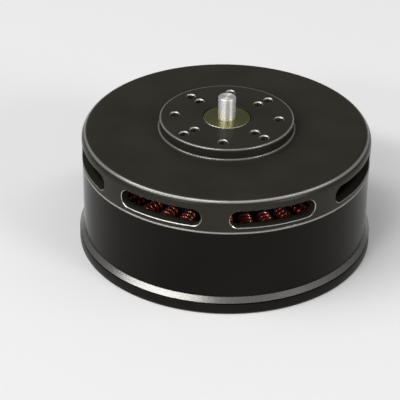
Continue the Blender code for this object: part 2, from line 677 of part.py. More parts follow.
def phase_route(phase):
    """One phase: pairs of coils joined in the slot, and links under the back iron between pairs."""
    under_turn = CORE_BOTTOM - FIT - WIRE_DIAMETER / 2
    under_lead = under_turn - LEAD_DROP
    link_radius = shoulder_radius + LINK_CLEARANCE + LINK_SPACING * phase
    link_height = under_lead - LINK_STEP * phase
    group_pitch = PHASE_COUNT * TEETH_PER_GROUP
    groups = TOOTH_COUNT // group_pitch
    first = TEETH_PER_GROUP * phase

    def link(tooth):
        return tooth_point(tooth, link_radius, 0.0, link_height)

    points = [link(first - 1), link(first)]
    for group in range(groups):
        start = first + group * group_pitch
        for step in range(TEETH_PER_GROUP):
            entry = under_lead if step else under_turn
            points += coil_points(start + step, entry, under_turn, under_lead)
        last = start + TEETH_PER_GROUP - 1
        ahead = 2 if group == groups - 1 else group_pitch - TEETH_PER_GROUP + 1
        points += [link(last + ahead * step / LINK_STEPS) for step in range(LINK_STEPS + 1)]
    return points


def least_gap(points):
    """Least clear distance between stretches of one wire that aren't neighbours on its route."""
    spacing = WIRE_DIAMETER / 4
    samples = []
    for start, end in zip(points, points[1:]):
        start = np.array(start)
        end = np.array(end)
        count = max(1, math.ceil(np.linalg.norm(end - start) / spacing))
        samples += [start + (end - start) * step / count for step in range(count)]
    samples = np.array(samples)
    apart = math.ceil(3 * WIRE_DIAMETER / spacing)
    least = math.inf
    for index in range(len(samples) - apart):
        distances = np.linalg.norm(samples[index + apart:] - samples[index], axis=1)
        least = min(least, distances.min())
    return least - WIRE_DIAMETER


def build_winding(phase, parent):
    """One phase winding as a single unbroken enamelled wire."""
    name = "winding_phase_" + "abc"[phase]
    points = phase_route(phase)
    curve = bpy.data.curves.new(name, "CURVE")
    curve.dimensions = "3D"
    curve.bevel_depth = WIRE_DIAMETER / 2
    curve.bevel_resolution = 1
    curve.use_fill_caps = True
    spline = curve.splines.new("POLY")
    spline.points.add(len(points) - 1)
    for point, place in zip(spline.points, points):
        point.co = (*place, 1.0)
    spline.use_smooth = True
    curve.materials.append(enamelled_copper)
    winding = bpy.data.objects.new(name, curve)
    bpy.context.collection.objects.link(winding)
    winding.parent = parent
    print("%s: least gap to itself %.2f mm" % (name, least_gap(points) * 1000))


black_anodised = finish("black_anodised", (0.030, 0.030, 0.026), 0.42, 0.6)
can_steel = finish("can_steel", (0.022, 0.019, 0.016), 0.28, 0.8)
bright_chamfer = finish("bright_chamfer", (0.30, 0.30, 0.28), 0.30, 1.0)
black_base = finish("black_base", (0.016, 0.015, 0.013), 0.45, 0.5)
bright_steel = finish("bright_steel", (0.62, 0.61, 0.60), 0.22, 1.0)
olive_metal = finish("olive_metal", (0.30, 0.29, 0.12), 0.35, 0.9)
machined_aluminium = finish("machined_aluminium", (0.55, 0.55, 0.54), 0.35, 1.0)
screw_steel = finish("screw_steel", (0.05, 0.05, 0.05), 0.40, 0.9)
brass_cage = finish("brass_cage", (0.45, 0.32, 0.12), 0.30, 1.0)
coated_core = finish("coated_core", (0.012, 0.014, 0.022), 0.55, 0.0)
enamelled_copper = finish("enamelled_copper", (0.17, 0.022, 0.016), 0.25, 0.4)
soft_rubber = finish("soft_rubber", (0.012, 0.012, 0.012), 0.80, 0.0)

stator_frame = frame_empty("stator_frame")
rotor_axis = frame_empty("rotor_axis")
upper_ball_axis = frame_empty("upper_ball_axis")
lower_ball_axis = frame_empty("lower_ball_axis")

build_base_plate(stator_frame)
build_core_seat(stator_frame)
build_bearing_tube(stator_frame)
build_stator_core(stator_frame)
for phase_number in range(PHASE_COUNT):
    build_winding(phase_number, stator_frame)
build_bearing("lower", LOWER_BEARING_BOTTOM, stator_frame, rotor_axis, lower_ball_axis)
build_bearing("upper", UPPER_BEARING_TOP - BEARING_WIDTH, stator_frame, rotor_axis, upper_ball_axis)
build_bell_cap(rotor_axis)
build_can(rotor_axis)
build_lower_ring(rotor_axis)
build_shaft_set(rotor_axis)
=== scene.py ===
# %% [markdown]
# # Dressing a brushless outrunner motor
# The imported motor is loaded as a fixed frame: the main sizes below are read from it, and none of it is moved.
# The turned shells, the windings and the bearings are then modelled again at full smoothness on top of it.

# %% Load the frame
import math

import bpy
from mathutils import Matrix, Vector


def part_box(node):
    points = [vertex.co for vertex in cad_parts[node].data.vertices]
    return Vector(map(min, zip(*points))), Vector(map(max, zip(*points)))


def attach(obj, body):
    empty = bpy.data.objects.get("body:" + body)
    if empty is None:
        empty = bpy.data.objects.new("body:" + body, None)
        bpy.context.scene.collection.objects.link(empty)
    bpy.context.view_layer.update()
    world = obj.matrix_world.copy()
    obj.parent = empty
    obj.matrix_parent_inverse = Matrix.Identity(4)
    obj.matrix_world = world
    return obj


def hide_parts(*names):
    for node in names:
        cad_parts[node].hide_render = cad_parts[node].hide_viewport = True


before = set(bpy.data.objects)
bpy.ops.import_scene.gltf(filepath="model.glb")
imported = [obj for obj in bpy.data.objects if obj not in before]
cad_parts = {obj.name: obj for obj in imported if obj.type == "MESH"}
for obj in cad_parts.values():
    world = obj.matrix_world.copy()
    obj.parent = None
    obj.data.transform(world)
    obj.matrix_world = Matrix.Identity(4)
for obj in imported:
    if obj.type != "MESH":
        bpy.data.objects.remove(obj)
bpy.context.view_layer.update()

# %% [markdown]
# The main sizes come straight from the boxes of the nodes. A turned piece stands on the Z axis, so its
# highest x is its radius, and its lowest and highest z are its ends. Reading them keeps the new pieces on
# the frame, where numbers written down twice could drift apart. Sizes that no box shows are named where
# they are first needed. All of them are in metres, and FIT is the gap between two pieces that meet.

# %% Sizes read from the frame
bell_low, bell_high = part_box("bell_cap")
can_low, can_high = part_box("flux_ring")
ring_low, ring_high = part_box("lower_ring")
_, base_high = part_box("base_plate")
shaft_low, shaft_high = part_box("shaft")
collar_low, collar_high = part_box("shaft_collar")
core_low, core_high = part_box("stator_core")
tube_low, tube_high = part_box("bearing_tube")
seat_low, seat_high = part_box("core_seat")

FIT = 0.0003
CAN_STEP = 0.0002
CAN_WALL = 0.0040
BOSS_HEIGHT = 0.0057
BELL_RADIUS = bell_high.x
CAN_RADIUS = BELL_RADIUS - CAN_STEP
CAN_INNER = CAN_RADIUS - CAN_WALL
BASE_RADIUS = base_high.x
CAP_BOTTOM = can_high.z + FIT
BOSS_TOP = bell_high.z
CAP_TOP = BOSS_TOP - BOSS_HEIGHT
PATTERN_TURN = math.radians(-4.4)
FULL_TURN = 2 * math.pi
print("bell radius %.4f, cap top %.4f, boss top %.4f" % (BELL_RADIUS, CAP_TOP, BOSS_TOP))

# %% [markdown]
# Most of this motor is made on a lathe. Spin could sweep a profile round the axis, but it leaves a seam to
# merge. One circle, extruded ring by ring and scaled to each new radius, is closed from the start, so the
# helper below does that. A ring-shaped piece is closed by bridging its first and last loops, and a solid
# one gets a face over each end.

# %% Lathe helper
SMOOTH_ANGLE = math.radians(28)


def deselect():
    bpy.ops.object.select_all(action="DESELECT")


def tell(piece):
    print(piece.name, len(piece.data.polygons), "faces")


def leave_outwards():
    """Point all faces outwards and leave edit mode."""
    bpy.ops.mesh.select_all(action="SELECT")
    bpy.ops.mesh.normals_make_consistent(inside=False)
    bpy.ops.object.mode_set(mode="OBJECT")


def turn(name, profile, steps, solid=False):
    """Turn a profile of (radius, height) points into a closed mesh at the origin."""
    deselect()
    radius, height = profile[0]
    bpy.ops.mesh.primitive_circle_add(vertices=steps, radius=radius, location=(0, 0, height),
                                      fill_type="NGON" if solid else "NOTHING")
    piece = bpy.context.object
    piece.name = name
    bpy.ops.object.transform_apply(location=True, rotation=False, scale=False)
    bpy.ops.object.mode_set(mode="EDIT")
    bpy.ops.mesh.select_mode(type="VERT")
    bpy.ops.mesh.select_all(action="SELECT")
    if solid:
        bpy.ops.mesh.select_mode(type="EDGE")
    for next_radius, next_height in profile[1:]:
        bpy.ops.mesh.extrude_edges_move(TRANSFORM_OT_translate={"value": (0, 0, next_height - height)})
        share = next_radius / radius
        bpy.ops.transform.resize(value=(share, share, 1), center_override=(0, 0, next_height))
        radius, height = next_radius, next_height
    if solid:
        bpy.ops.mesh.edge_face_add()
    else:
        bpy.ops.mesh.select_all(action="DESELECT")
        bpy.ops.mesh.select_non_manifold()
        bpy.ops.mesh.bridge_edge_loops()
    leave_outwards()
    bpy.ops.object.shade_smooth_by_angle(angle=SMOOTH_ANGLE)
    tell(piece)
    return piece


def round_corner(centre_radius, centre_height, size, steps, start=0, end=90):
    """Profile points of a rounded corner, from one angle to another, in degrees from outwards."""
    points = []
    for step in range(steps + 1):
        angle = math.radians(start + (end - start) * step / steps)
        points.append((centre_radius + size * math.cos(angle), centre_height + size * math.sin(angle)))
    return points


# %% [markdown]
# Holes and windows could be modelled into the turned walls, but that takes many loops, so they are cut with
# Boolean modifiers, which keep the wall's own curve. Each tool is modelled once, copied to its places with
# its own mesh, and all the copies are joined into one cutter, so that a piece is cut in a single pass.

# %% Copying and cutting helpers
def copy_at(piece, place=(0, 0, 0), angle=0.0):
    """A copy with its own mesh, turned about Z and then moved, with the place put into the mesh."""
    twin = piece.copy()
    twin.data = piece.data.copy()
    bpy.context.scene.collection.objects.link(twin)
    twin.data.transform(Matrix.Translation(place) @ Matrix.Rotation(angle, 4, "Z"))
    return twin


def remove(piece):
    bpy.data.objects.remove(piece, do_unlink=True)


def select(*pieces):
    """Select only these pieces, with the first one active."""
    deselect()
    for piece in pieces:
        piece.select_set(True)
    bpy.context.view_layer.objects.active = pieces[0]


def join(pieces, name):
    """Join pieces into one object."""
    select(*pieces)
    bpy.ops.object.join()
    pieces[0].name = name
    return pieces[0]


def cut(piece, tools):
    """Subtract the tools from the piece, then shade it again."""
    tool = join(tools, piece.name + "_tool")
    boolean = piece.modifiers.new("cut", "BOOLEAN")
    boolean.operation = "DIFFERENCE"
    boolean.solver = "EXACT"
    boolean.object = tool
    select(piece)
    bpy.ops.object.modifier_apply(modifier=boolean.name)
    remove(tool)
    bpy.ops.object.shade_smooth_by_angle(angle=SMOOTH_ANGLE)
    tell(piece)


def around(count, first=0.0):
    return [first + FULL_TURN * index / count for index in range(count)]


def ring_of(piece, count, first=0.0):
    """Copies of a piece in a circle round the axis, in place of the piece itself."""
    copies = [copy_at(piece, angle=angle) for angle in around(count, first)]
    remove(piece)
    return copies


def polar(radius, angle, height=0.0):
    return (radius * math.cos(angle), radius * math.sin(angle), height)


# %% [markdown]
# ## The bell cap
# The cap is turned from one billet: a flat top with a softly rounded edge, a raised boss with a small step
# at its foot, and a thin wall. It could be a cylinder with a Bevel modifier, but its edges all differ, and
# the small bevels matter most, because on black metal the edges are what the eye sees. So one profile has
# them all. It starts at the bore, runs along the inside and comes back over the outside.

# %% Turn the cap
EDGE_ROUND = 0.0045
SMALL_BEVEL = 0.00035
BOSS_BEVEL = 0.0005
BOSS_RADIUS = 0.0338
BOSS_STEP = 0.0007
BOSS_STEP_HEIGHT = 0.0006
BELL_WALL = 0.0043
TOP_PLATE = 0.0050
LEDGE = 0.0010
REGISTER_WALL = 0.0025
REGISTER_RADIUS = CAN_INNER - FIT
REGISTER_INNER = REGISTER_RADIUS - REGISTER_WALL
COLLAR_RADIUS = 0.0118
COLLAR_BORE = COLLAR_RADIUS + FIT
ROUND_STEPS = 192

underside = CAP_TOP - TOP_PLATE
wall_inner = BELL_RADIUS - BELL_WALL
step_radius = BOSS_RADIUS + BOSS_STEP
step_top = CAP_TOP + BOSS_STEP_HEIGHT
cap_profile = [(COLLAR_BORE, underside), (wall_inner, underside), (wall_inner, CAP_BOTTOM + LEDGE),
               (REGISTER_INNER, CAP_BOTTOM + LEDGE), (REGISTER_INNER, bell_low.z),
               (REGISTER_RADIUS, bell_low.z), (REGISTER_RADIUS, CAP_BOTTOM),
               (BELL_RADIUS - SMALL_BEVEL, CAP_BOTTOM), (BELL_RADIUS, CAP_BOTTOM + SMALL_BEVEL)]
cap_profile += round_corner(BELL_RADIUS - EDGE_ROUND, CAP_TOP - EDGE_ROUND, EDGE_ROUND, steps=14)
cap_profile += [(step_radius, CAP_TOP)]
cap_profile += round_corner(step_radius - SMALL_BEVEL, step_top - SMALL_BEVEL, SMALL_BEVEL, steps=4)
cap_profile += [(BOSS_RADIUS, step_top)]
cap_profile += round_corner(BOSS_RADIUS - BOSS_BEVEL, BOSS_TOP - BOSS_BEVEL, BOSS_BEVEL, steps=6)
cap_profile += [(COLLAR_BORE + SMALL_BEVEL, BOSS_TOP), (COLLAR_BORE, BOSS_TOP - SMALL_BEVEL)]
bell_shell = turn("bell_shell", cap_profile, ROUND_STEPS)

# %% [markdown]
# Several pieces below are shaped by picking some of their edges or faces. In code this is a test on each of
# them: the selection mode has to be set, and the old selection cleared, before the new one is made.

# %% Selection helpers
def pick(piece, kind, passes):
    """Enter edit mode with only those edges or faces selected that pass a test."""
    bpy.ops.object.mode_set(mode="EDIT")
    bpy.ops.mesh.select_mode(type=kind)
    bpy.ops.mesh.select_all(action="DESELECT")
    bpy.ops.object.mode_set(mode="OBJECT")
    for item in piece.data.polygons if kind == "FACE" else piece.data.edges:
        item.select = passes(item)
    bpy.ops.object.mode_set(mode="EDIT")


def span_of(piece, edge, axis):
    """How far an edge reaches along one axis."""
    first, second = (piece.data.vertices[index].co[axis] for index in edge.vertices)
    return abs(first - second)


# %% [markdown]
# Each window is an obround slot that follows the curve of the wall and has a bright chamfer outside. A
# straight cutter would be simpler, but its sides would slant against the curved wall, and the chamfer would
# vary in width. So a flat obround is made from a circle pulled apart at its middle, with its long edges
# subdivided. It is extruded into layers that flare at the wall's face, and then wrapped: the distance along
# it becomes an angle, and its depth a radius.

# %% Make the window tools
WINDOW_COUNT = 8
WINDOW_LENGTH = 0.0438
WINDOW_HEIGHT = 0.0092
WINDOW_SILL = 0.0024
WINDOW_MIDDLE = CAP_BOTTOM + WINDOW_SILL + WINDOW_HEIGHT / 2
WINDOW_CHAMFER = 0.0003
ARC_POINTS = 36
RUN_CUTS = 15
TOOL_INSIDE = 0.004
TOOL_OUTSIDE = 0.008
TINY = 1e-6


def make_window_tool():
    deselect()
    bpy.ops.mesh.primitive_circle_add(vertices=ARC_POINTS, radius=WINDOW_HEIGHT / 2, fill_type="NOTHING",
                                      rotation=(math.pi / 2, 0, 0))
    tool = bpy.context.object
    bpy.ops.object.transform_apply(location=False, rotation=True, scale=False)
    run = WINDOW_LENGTH / 2 - WINDOW_HEIGHT / 2
    for vertex in tool.data.vertices:
        side = math.copysign(1.0, vertex.co.x) if abs(vertex.co.x) > TINY else 0.0
        vertex.co.x += side * run
    pick(tool, "EDGE", lambda edge: span_of(tool, edge, 0) > run / 2)
    bpy.ops.mesh.subdivide(number_cuts=RUN_CUTS)
    bpy.ops.mesh.select_all(action="SELECT")
    depth, grown = wall_inner - TOOL_INSIDE, 0.0
    layers = [(BELL_RADIUS - WINDOW_CHAMFER, 0.0), (BELL_RADIUS + WINDOW_CHAMFER, 2 * WINDOW_CHAMFER),
              (BELL_RADIUS + TOOL_OUTSIDE, 2 * WINDOW_CHAMFER)]
    bpy.ops.transform.translate(value=(0, depth, 0))
    bpy.ops.mesh.edge_face_add()
    for next_depth, grow in layers:
        bpy.ops.mesh.extrude_region_move(TRANSFORM_OT_translate={"value": (0, next_depth - depth, 0)})
        wider = (WINDOW_LENGTH + 2 * grow) / (WINDOW_LENGTH + 2 * grown)
        taller = (WINDOW_HEIGHT + 2 * grow) / (WINDOW_HEIGHT + 2 * grown)
        bpy.ops.transform.resize(value=(wider, 1, taller), center_override=(0, next_depth, 0))
        depth, grown = next_depth, grow
    leave_outwards()
    for vertex in tool.data.vertices:
        along, radius, height = vertex.co
        vertex.co = polar(radius, -along / BELL_RADIUS, WINDOW_MIDDLE + height)
    return tool


window_tool = make_window_tool()
tell(window_tool)
tools = ring_of(window_tool, WINDOW_COUNT, PATTERN_TURN + math.pi / WINDOW_COUNT)

# %% [markdown]
# The boss has twelve tapped holes: one on each axis and two on each diagonal. The tool is a turned plug
# with a drill's point, a zigzag side for the thread and a flared mouth. The zigzag makes rings where a real
# thread is a helix, but at this size the two look the same, and rings can be turned. Windows and holes are
# then cut together.

# %% Cut the windows and the tapped holes
HOLE_RADIUS = 0.0021
HOLE_DEPTH = 0.0080
HOLE_CHAMFER = 0.0005
HOLE_STEPS = 28
DRILL_TIP = 0.05
DRILL_POINT = 0.5
THREAD_DEPTH = 0.0002
THREAD_PITCH = 0.0008
AXIS_CIRCLE = 0.02625
DIAGONAL_OUTER = 0.0280
DIAGONAL_INNER = 0.0212
PAST = 0.001

hole_bottom = BOSS_TOP - HOLE_DEPTH
thread_top = BOSS_TOP - HOLE_CHAMFER
mouth_radius = HOLE_RADIUS + HOLE_CHAMFER
plug_profile = [(HOLE_RADIUS * DRILL_TIP, hole_bottom - HOLE_RADIUS * DRILL_POINT),
                (HOLE_RADIUS, hole_bottom)]
height = hole_bottom
while height + THREAD_PITCH < thread_top:
    plug_profile += [(HOLE_RADIUS + THREAD_DEPTH, height + THREAD_PITCH / 2),
                     (HOLE_RADIUS, height + THREAD_PITCH)]
    height += THREAD_PITCH
plug_profile += [(HOLE_RADIUS, thread_top), (mouth_radius, BOSS_TOP), (mouth_radius, BOSS_TOP + PAST)]
plug = turn("boss_plug", plug_profile, HOLE_STEPS, solid=True)
hole_places = [polar(AXIS_CIRCLE, angle) for angle in around(4, PATTERN_TURN)]
for angle in around(4, PATTERN_TURN + math.pi / 4):
    hole_places += [polar(DIAGONAL_OUTER, angle), polar(DIAGONAL_INNER, angle)]
tools += [copy_at(plug, place) for place in hole_places]
remove(plug)
cut(bell_shell, tools)

# %% [markdown]
# ## The can, its magnets and the lower ring
# The can is a plain steel tube. Its top edge has a fine bright chamfer that shows as a line under the cap.
# A tube with a Solidify modifier would need that chamfer cut afterwards, and a turned profile has it at
# once.

# %% Turn the can
CAN_CHAMFER = 0.0005
CAN_FOOT = 0.0002
can_profile = [(CAN_INNER, can_low.z), (CAN_RADIUS - CAN_FOOT, can_low.z),
               (CAN_RADIUS, can_low.z + CAN_FOOT), (CAN_RADIUS, can_high.z - CAN_CHAMFER),
               (CAN_RADIUS - CAN_CHAMFER, can_high.z), (CAN_INNER, can_high.z)]
can_shell = turn("can_shell", can_profile, ROUND_STEPS)

# %% [markdown]
# The magnets are flat bars that are glued inside the can with small gaps between them. One bar is a block
# with bevelled edges, and the others are copies of it, turned about the axis. An Array modifier could
# repeat the bar as well, but it would need a helper object to turn round.

# %% Set the magnets
MAGNET_COUNT = 42
MAGNET_THICKNESS = 0.0045
MAGNET_FILL = 0.82
MAGNET_INSET = 0.0021
MAGNET_BEVEL = 0.0004


def block(place, size):
    """A box with its place and size put into its mesh, as a start for shaping."""
    deselect()
    bpy.ops.mesh.primitive_cube_add(size=1, location=place, scale=size)
    bpy.ops.object.transform_apply(location=True, rotation=True, scale=True)
    return bpy.context.object


magnet_low = can_low.z + MAGNET_INSET
magnet_high = can_high.z - MAGNET_INSET
magnet_middle = CAN_INNER - MAGNET_THICKNESS / 2
magnet_width = 2 * (CAN_INNER - MAGNET_THICKNESS) * math.sin(math.pi / MAGNET_COUNT * MAGNET_FILL)
magnet = block((magnet_middle, 0, (magnet_low + magnet_high) / 2),
               (MAGNET_THICKNESS, magnet_width, magnet_high - magnet_low))
bpy.ops.object.mode_set(mode="EDIT")
bpy.ops.mesh.select_all(action="SELECT")
bpy.ops.mesh.bevel(offset=MAGNET_BEVEL, segments=2)
bpy.ops.object.mode_set(mode="OBJECT")
magnet_set = join(ring_of(magnet, MAGNET_COUNT), "magnet_set")
tell(magnet_set)

# %% [markdown]
# The lower ring closes the can. Its outer face is a cut cone that runs out to the base's own radius, and it
# is the brightest edge of the motor. It is a turned piece of its own and not a bevel on the can, because
# it is bare metal where the can is coated.

# %% Turn the lower ring
RING_BEVEL = 0.0003
RING_LIP = 0.0001
ring_shoulder = can_low.z - FIT
ring_profile = [(REGISTER_INNER, ring_low.z), (BASE_RADIUS - RING_BEVEL, ring_low.z),
                (BASE_RADIUS, ring_low.z + RING_BEVEL), (CAN_RADIUS + RING_LIP, ring_shoulder),
                (REGISTER_RADIUS, ring_shoulder), (REGISTER_RADIUS, ring_high.z),
                (REGISTER_INNER, ring_high.z)]
ring_trim = turn("ring_trim", ring_profile, ROUND_STEPS)

# %% [markdown]
# ## The base
# The base carries everything that stands still. It has a plain rim, a thin floor and a raised hub. The turned
# seat that carries the core could be one piece with it, but it is a tube of its own, whose skirt fits over
# the edge of the hub, and two simple profiles are easier to read than one with a deep undercut. The radii
# that no box shows are measured on the points of the core and of the bearing tube.

# %% Turn the base and the seat
RIM_HEIGHT = 0.00545
RIM_WALL = 0.0081
RIM_INNER = BASE_RADIUS - RIM_WALL
FLOOR = 0.0030
HUB_FLOOR = 0.0050
BASE_BEVEL = 0.0005
BORE_BEVEL = 0.0003
SEAT_WALL = 0.0047
SKIRT_WALL = 0.0016
SEAT_STEPS = 96


def radii(name, below=math.inf):
    """How far the points of a CAD node are from the axis, for those below a height."""
    points = (vertex.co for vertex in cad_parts[name].data.vertices)
    return [math.hypot(point.x, point.y) for point in points if point.z < below]


core_bore = min(radii("stator_core"))
hub_bore = max(radii("bearing_tube", tube_low.z + FIT)) + FIT
seat_radius = core_bore - FIT
seat_bore = seat_radius - SEAT_WALL
shoulder = seat_high.x
hub_radius = shoulder - SKIRT_WALL - FIT
base_profile = [(hub_bore, BORE_BEVEL), (hub_bore + BORE_BEVEL, 0), (BASE_RADIUS - BASE_BEVEL, 0)]
base_profile += round_corner(BASE_RADIUS - BASE_BEVEL, BASE_BEVEL, BASE_BEVEL, steps=3, start=-60, end=0)
base_profile += round_corner(BASE_RADIUS - SMALL_BEVEL, RIM_HEIGHT - SMALL_BEVEL, SMALL_BEVEL, steps=3)
base_profile += [(RIM_INNER, RIM_HEIGHT), (RIM_INNER, FLOOR), (hub_radius, FLOOR),
                 (hub_radius, HUB_FLOOR), (hub_bore, HUB_FLOOR)]
base_shell = turn("base_shell", base_profile, ROUND_STEPS)

foot = HUB_FLOOR + FIT
skirt = hub_radius + FIT
core_rest = core_low.z - FIT
seat_profile = [(seat_bore, foot), (skirt, foot), (skirt, seat_low.z), (shoulder, seat_low.z),
                (shoulder, core_rest), (seat_radius, core_rest), (seat_radius, seat_high.z),
                (seat_bore, seat_high.z)]
turned_seat = turn("turned_seat", seat_profile, SEAT_STEPS)

# %% [markdown]
# The floor has a circle of vents, the hub has six mounting holes, and one plain hole takes the grommet. A
# vent is a block whose sides are drawn in, so that the spokes between the vents keep one width, and whose
# upright edges are bevelled round. A stretched cylinder would be quicker, but its corners wouldn't have one
# radius.

# %% Cut the vents and holes
VENT_COUNT = 12
VENT_SPOKE = 0.0185
VENT_DEPTH = 0.0140
VENT_CORNER = 0.0020
VENT_RIM = 0.0045
MOUNT_COUNT = 6
MOUNT_RADIUS = 0.0022
MOUNT_CHAMFER = 0.0005
MOUNT_INSET = 0.0030
MOUNT_STEPS = 32
GROMMET_HOLE = 0.0035
GROMMET_STEPS = 40

vent_outer = RIM_INNER - VENT_RIM
vent_inner = vent_outer - VENT_DEPTH
vent_middle = (vent_outer + vent_inner) / 2
vent = block((vent_middle, 0, FLOOR / 2), (VENT_DEPTH, 1, 4 * FLOOR))
for vertex in vent.data.vertices:
    reach = vertex.co.x
    half_angle = math.pi / VENT_COUNT - math.asin(VENT_SPOKE / 2 / reach)
    vertex.co.y = math.copysign(reach * math.sin(half_angle), vertex.co.y)
pick(vent, "EDGE", lambda edge: span_of(vent, edge, 2) > FLOOR)
bpy.ops.mesh.bevel(offset=VENT_CORNER, segments=6)
bpy.ops.object.mode_set(mode="OBJECT")
tools = ring_of(vent, VENT_COUNT, math.pi / VENT_COUNT)

mount_mouth = MOUNT_RADIUS + MOUNT_CHAMFER
mount_plug = turn("mount_plug", [(mount_mouth, -PAST), (mount_mouth, 0.0), (MOUNT_RADIUS, MOUNT_CHAMFER),
                                 (MOUNT_RADIUS, HUB_FLOOR + PAST)], MOUNT_STEPS, solid=True)
mount_circle = seat_bore - MOUNT_INSET
tools += [copy_at(mount_plug, polar(mount_circle, angle)) for angle in around(MOUNT_COUNT, math.pi / 2)]
remove(mount_plug)

outlet = polar(vent_middle, math.pi / 2)
outlet_plug = turn("outlet_plug", [(GROMMET_HOLE, -PAST), (GROMMET_HOLE, FLOOR + PAST)], GROMMET_STEPS,
                   solid=True)
tools.append(copy_at(outlet_plug, outlet))
remove(outlet_plug)
cut(base_shell, tools)

# %% [markdown]
# The leads leave through a rubber grommet in the floor. The leads themselves aren't part of this model. A
# torus would give only the lip, so the grommet is turned with its bore, neck and lip in one profile, at the
# axis, and then copied to its hole.

# %% Turn the grommet
GROMMET_BORE = 0.0020
GROMMET_FLARE = 0.0003
GROMMET_RISE = 0.0013
GROMMET_TOP = FLOOR + GROMMET_RISE
LIP_REACH = 0.0012
LIP_RISE = 0.0008
LIP_ROUND = 0.0004
grommet_side = GROMMET_HOLE - FIT
grommet_mouth = GROMMET_BORE + GROMMET_FLARE
grommet_profile = [(GROMMET_BORE, FIT + GROMMET_FLARE), (grommet_mouth, FIT), (grommet_side, FIT),
                   (grommet_side, FLOOR + FIT)]
grommet_profile += round_corner(GROMMET_HOLE + LIP_REACH, FLOOR + LIP_RISE, LIP_ROUND, steps=6, start=-90)
grommet_profile += [(grommet_mouth, GROMMET_TOP), (GROMMET_BORE, GROMMET_TOP - GROMMET_FLARE)]
grommet_blank = turn("grommet_blank", grommet_profile, GROMMET_STEPS)
rubber_grommet = copy_at(grommet_blank, outlet)
remove(grommet_blank)
rubber_grommet.name = "rubber_grommet"

# %% [markdown]
# ## Shaft, collar and bearings
# The shaft is ground steel with a small rounded chamfer at its tip, a larger journal inside and a groove
# for its circlip. The collar is the yellowish disc round it, flush with the boss. Both are turned from a
# profile and not bevelled cylinders, because the steps, the groove and the edges all have sizes of their
# own.

# %% Turn the shaft and the collar
JOURNAL = 0.0060
STUB = 0.0044
STUB_CHAMFER = 0.0005
STUB_SEAT = 0.0021
SHAFT_FOOT = 0.0004
SHAFT_STEPS = 64
CLIP_GROOVE = 0.0007
GROOVE_LOW = 0.0037
GROOVE_HIGH = 0.0055
COLLAR_ROUND = 0.0005
COLLAR_FLANGE = 0.0032
COLLAR_MOUTH = 0.0002
COLLAR_STEPS = 96

collar_top = collar_high.z
stub_bottom = collar_top - STUB_SEAT
stub_shoulder = shaft_high.z - STUB_CHAMFER
groove_radius = JOURNAL - CLIP_GROOVE
shaft_profile = [(JOURNAL - SHAFT_FOOT, shaft_low.z), (JOURNAL, shaft_low.z + SHAFT_FOOT),
                 (JOURNAL, GROOVE_LOW), (groove_radius, GROOVE_LOW), (groove_radius, GROOVE_HIGH),
                 (JOURNAL, GROOVE_HIGH), (JOURNAL, stub_bottom), (STUB, stub_bottom), (STUB, stub_shoulder)]
shaft_profile += round_corner(STUB - STUB_CHAMFER, stub_shoulder, STUB_CHAMFER, steps=5, start=15)
turned_shaft = turn("turned_shaft", shaft_profile, SHAFT_STEPS, solid=True)

journal_bore = JOURNAL + FIT
stub_bore = STUB + FIT
flange_top = collar_low.z + COLLAR_FLANGE
collar_profile = [(journal_bore, collar_low.z), (collar_high.x, collar_low.z), (collar_high.x, flange_top),
                  (COLLAR_RADIUS, flange_top)]
collar_profile += round_corner(COLLAR_RADIUS - COLLAR_ROUND, collar_top - COLLAR_ROUND, COLLAR_ROUND, steps=4)
collar_profile += [(stub_bore + COLLAR_MOUTH, collar_top), (stub_bore, collar_top - COLLAR_MOUTH),
                   (stub_bore, stub_bottom + FIT), (journal_bore, stub_bottom + FIT)]
turned_collar = turn("turned_collar", collar_profile, COLLAR_STEPS)

# %% [markdown]
# The bearing tube stands in the hub on a flange. It has a pocket for a bearing at each end and a narrower
# waist between them. It could be a cylinder that Booleans bore out, but one profile gives the flange, both
# pockets and the waist at once. Little of it shows, so its edges stay plain.

# %% Turn the bearing tube
POCKET_RADIUS = 0.0143
WAIST_RADIUS = 0.0129
LOWER_POCKET = 0.0138
UPPER_POCKET = 0.0412
TUBE_FLANGE = 0.0033
BORE_STEPS = 72
tube_radius = hub_bore - FIT
tube_shoulder = HUB_FLOOR + TUBE_FLANGE
tube_profile = [(POCKET_RADIUS, tube_low.z), (tube_radius, tube_low.z), (tube_radius, foot),
                (tube_high.x, foot), (tube_high.x, tube_shoulder), (tube_radius, tube_shoulder),
                (tube_radius, tube_high.z), (POCKET_RADIUS, tube_high.z), (POCKET_RADIUS, UPPER_POCKET),
                (WAIST_RADIUS, UPPER_POCKET), (WAIST_RADIUS, LOWER_POCKET), (POCKET_RADIUS, LOWER_POCKET)]
turned_tube = turn("turned_tube", tube_profile, BORE_STEPS)

# %% [markdown]
# Each bearing is two races with a round groove, and seven balls in a cage of two rails. Only the lower one
# shows, from below, in the middle of the base. The races ride with the part that grips them, and the balls
# have a body of their own. The balls could be instances of one mesh, but a finished piece has its own mesh,
# so they are copied and joined with the rails.

# %% Make the bearings
BEARING_RADIUS = 0.0140
RACE_WALL = 0.0020
RACE_EDGE = 0.0004
GROOVE_DEPTH = 0.0005
GROOVE_HALF = 0.0016
GROOVE_BEND = 0.75
BALL_COUNT = 7
BALL_GAP = 0.0002
RAIL_OFFSET = 0.0012
RAIL_WIDTH = 0.0009
RAIL_HALF = 0.0003


def race_groove(land, depth, middle):
    """Profile points of a round groove in a race, from its upper edge to its lower one."""
    bend = land + depth * GROOVE_BEND
    return [(land, middle + GROOVE_HALF), (bend, middle + GROOVE_HALF / 2), (land + depth, middle),
            (bend, middle - GROOVE_HALF / 2), (land, middle - GROOVE_HALF)]


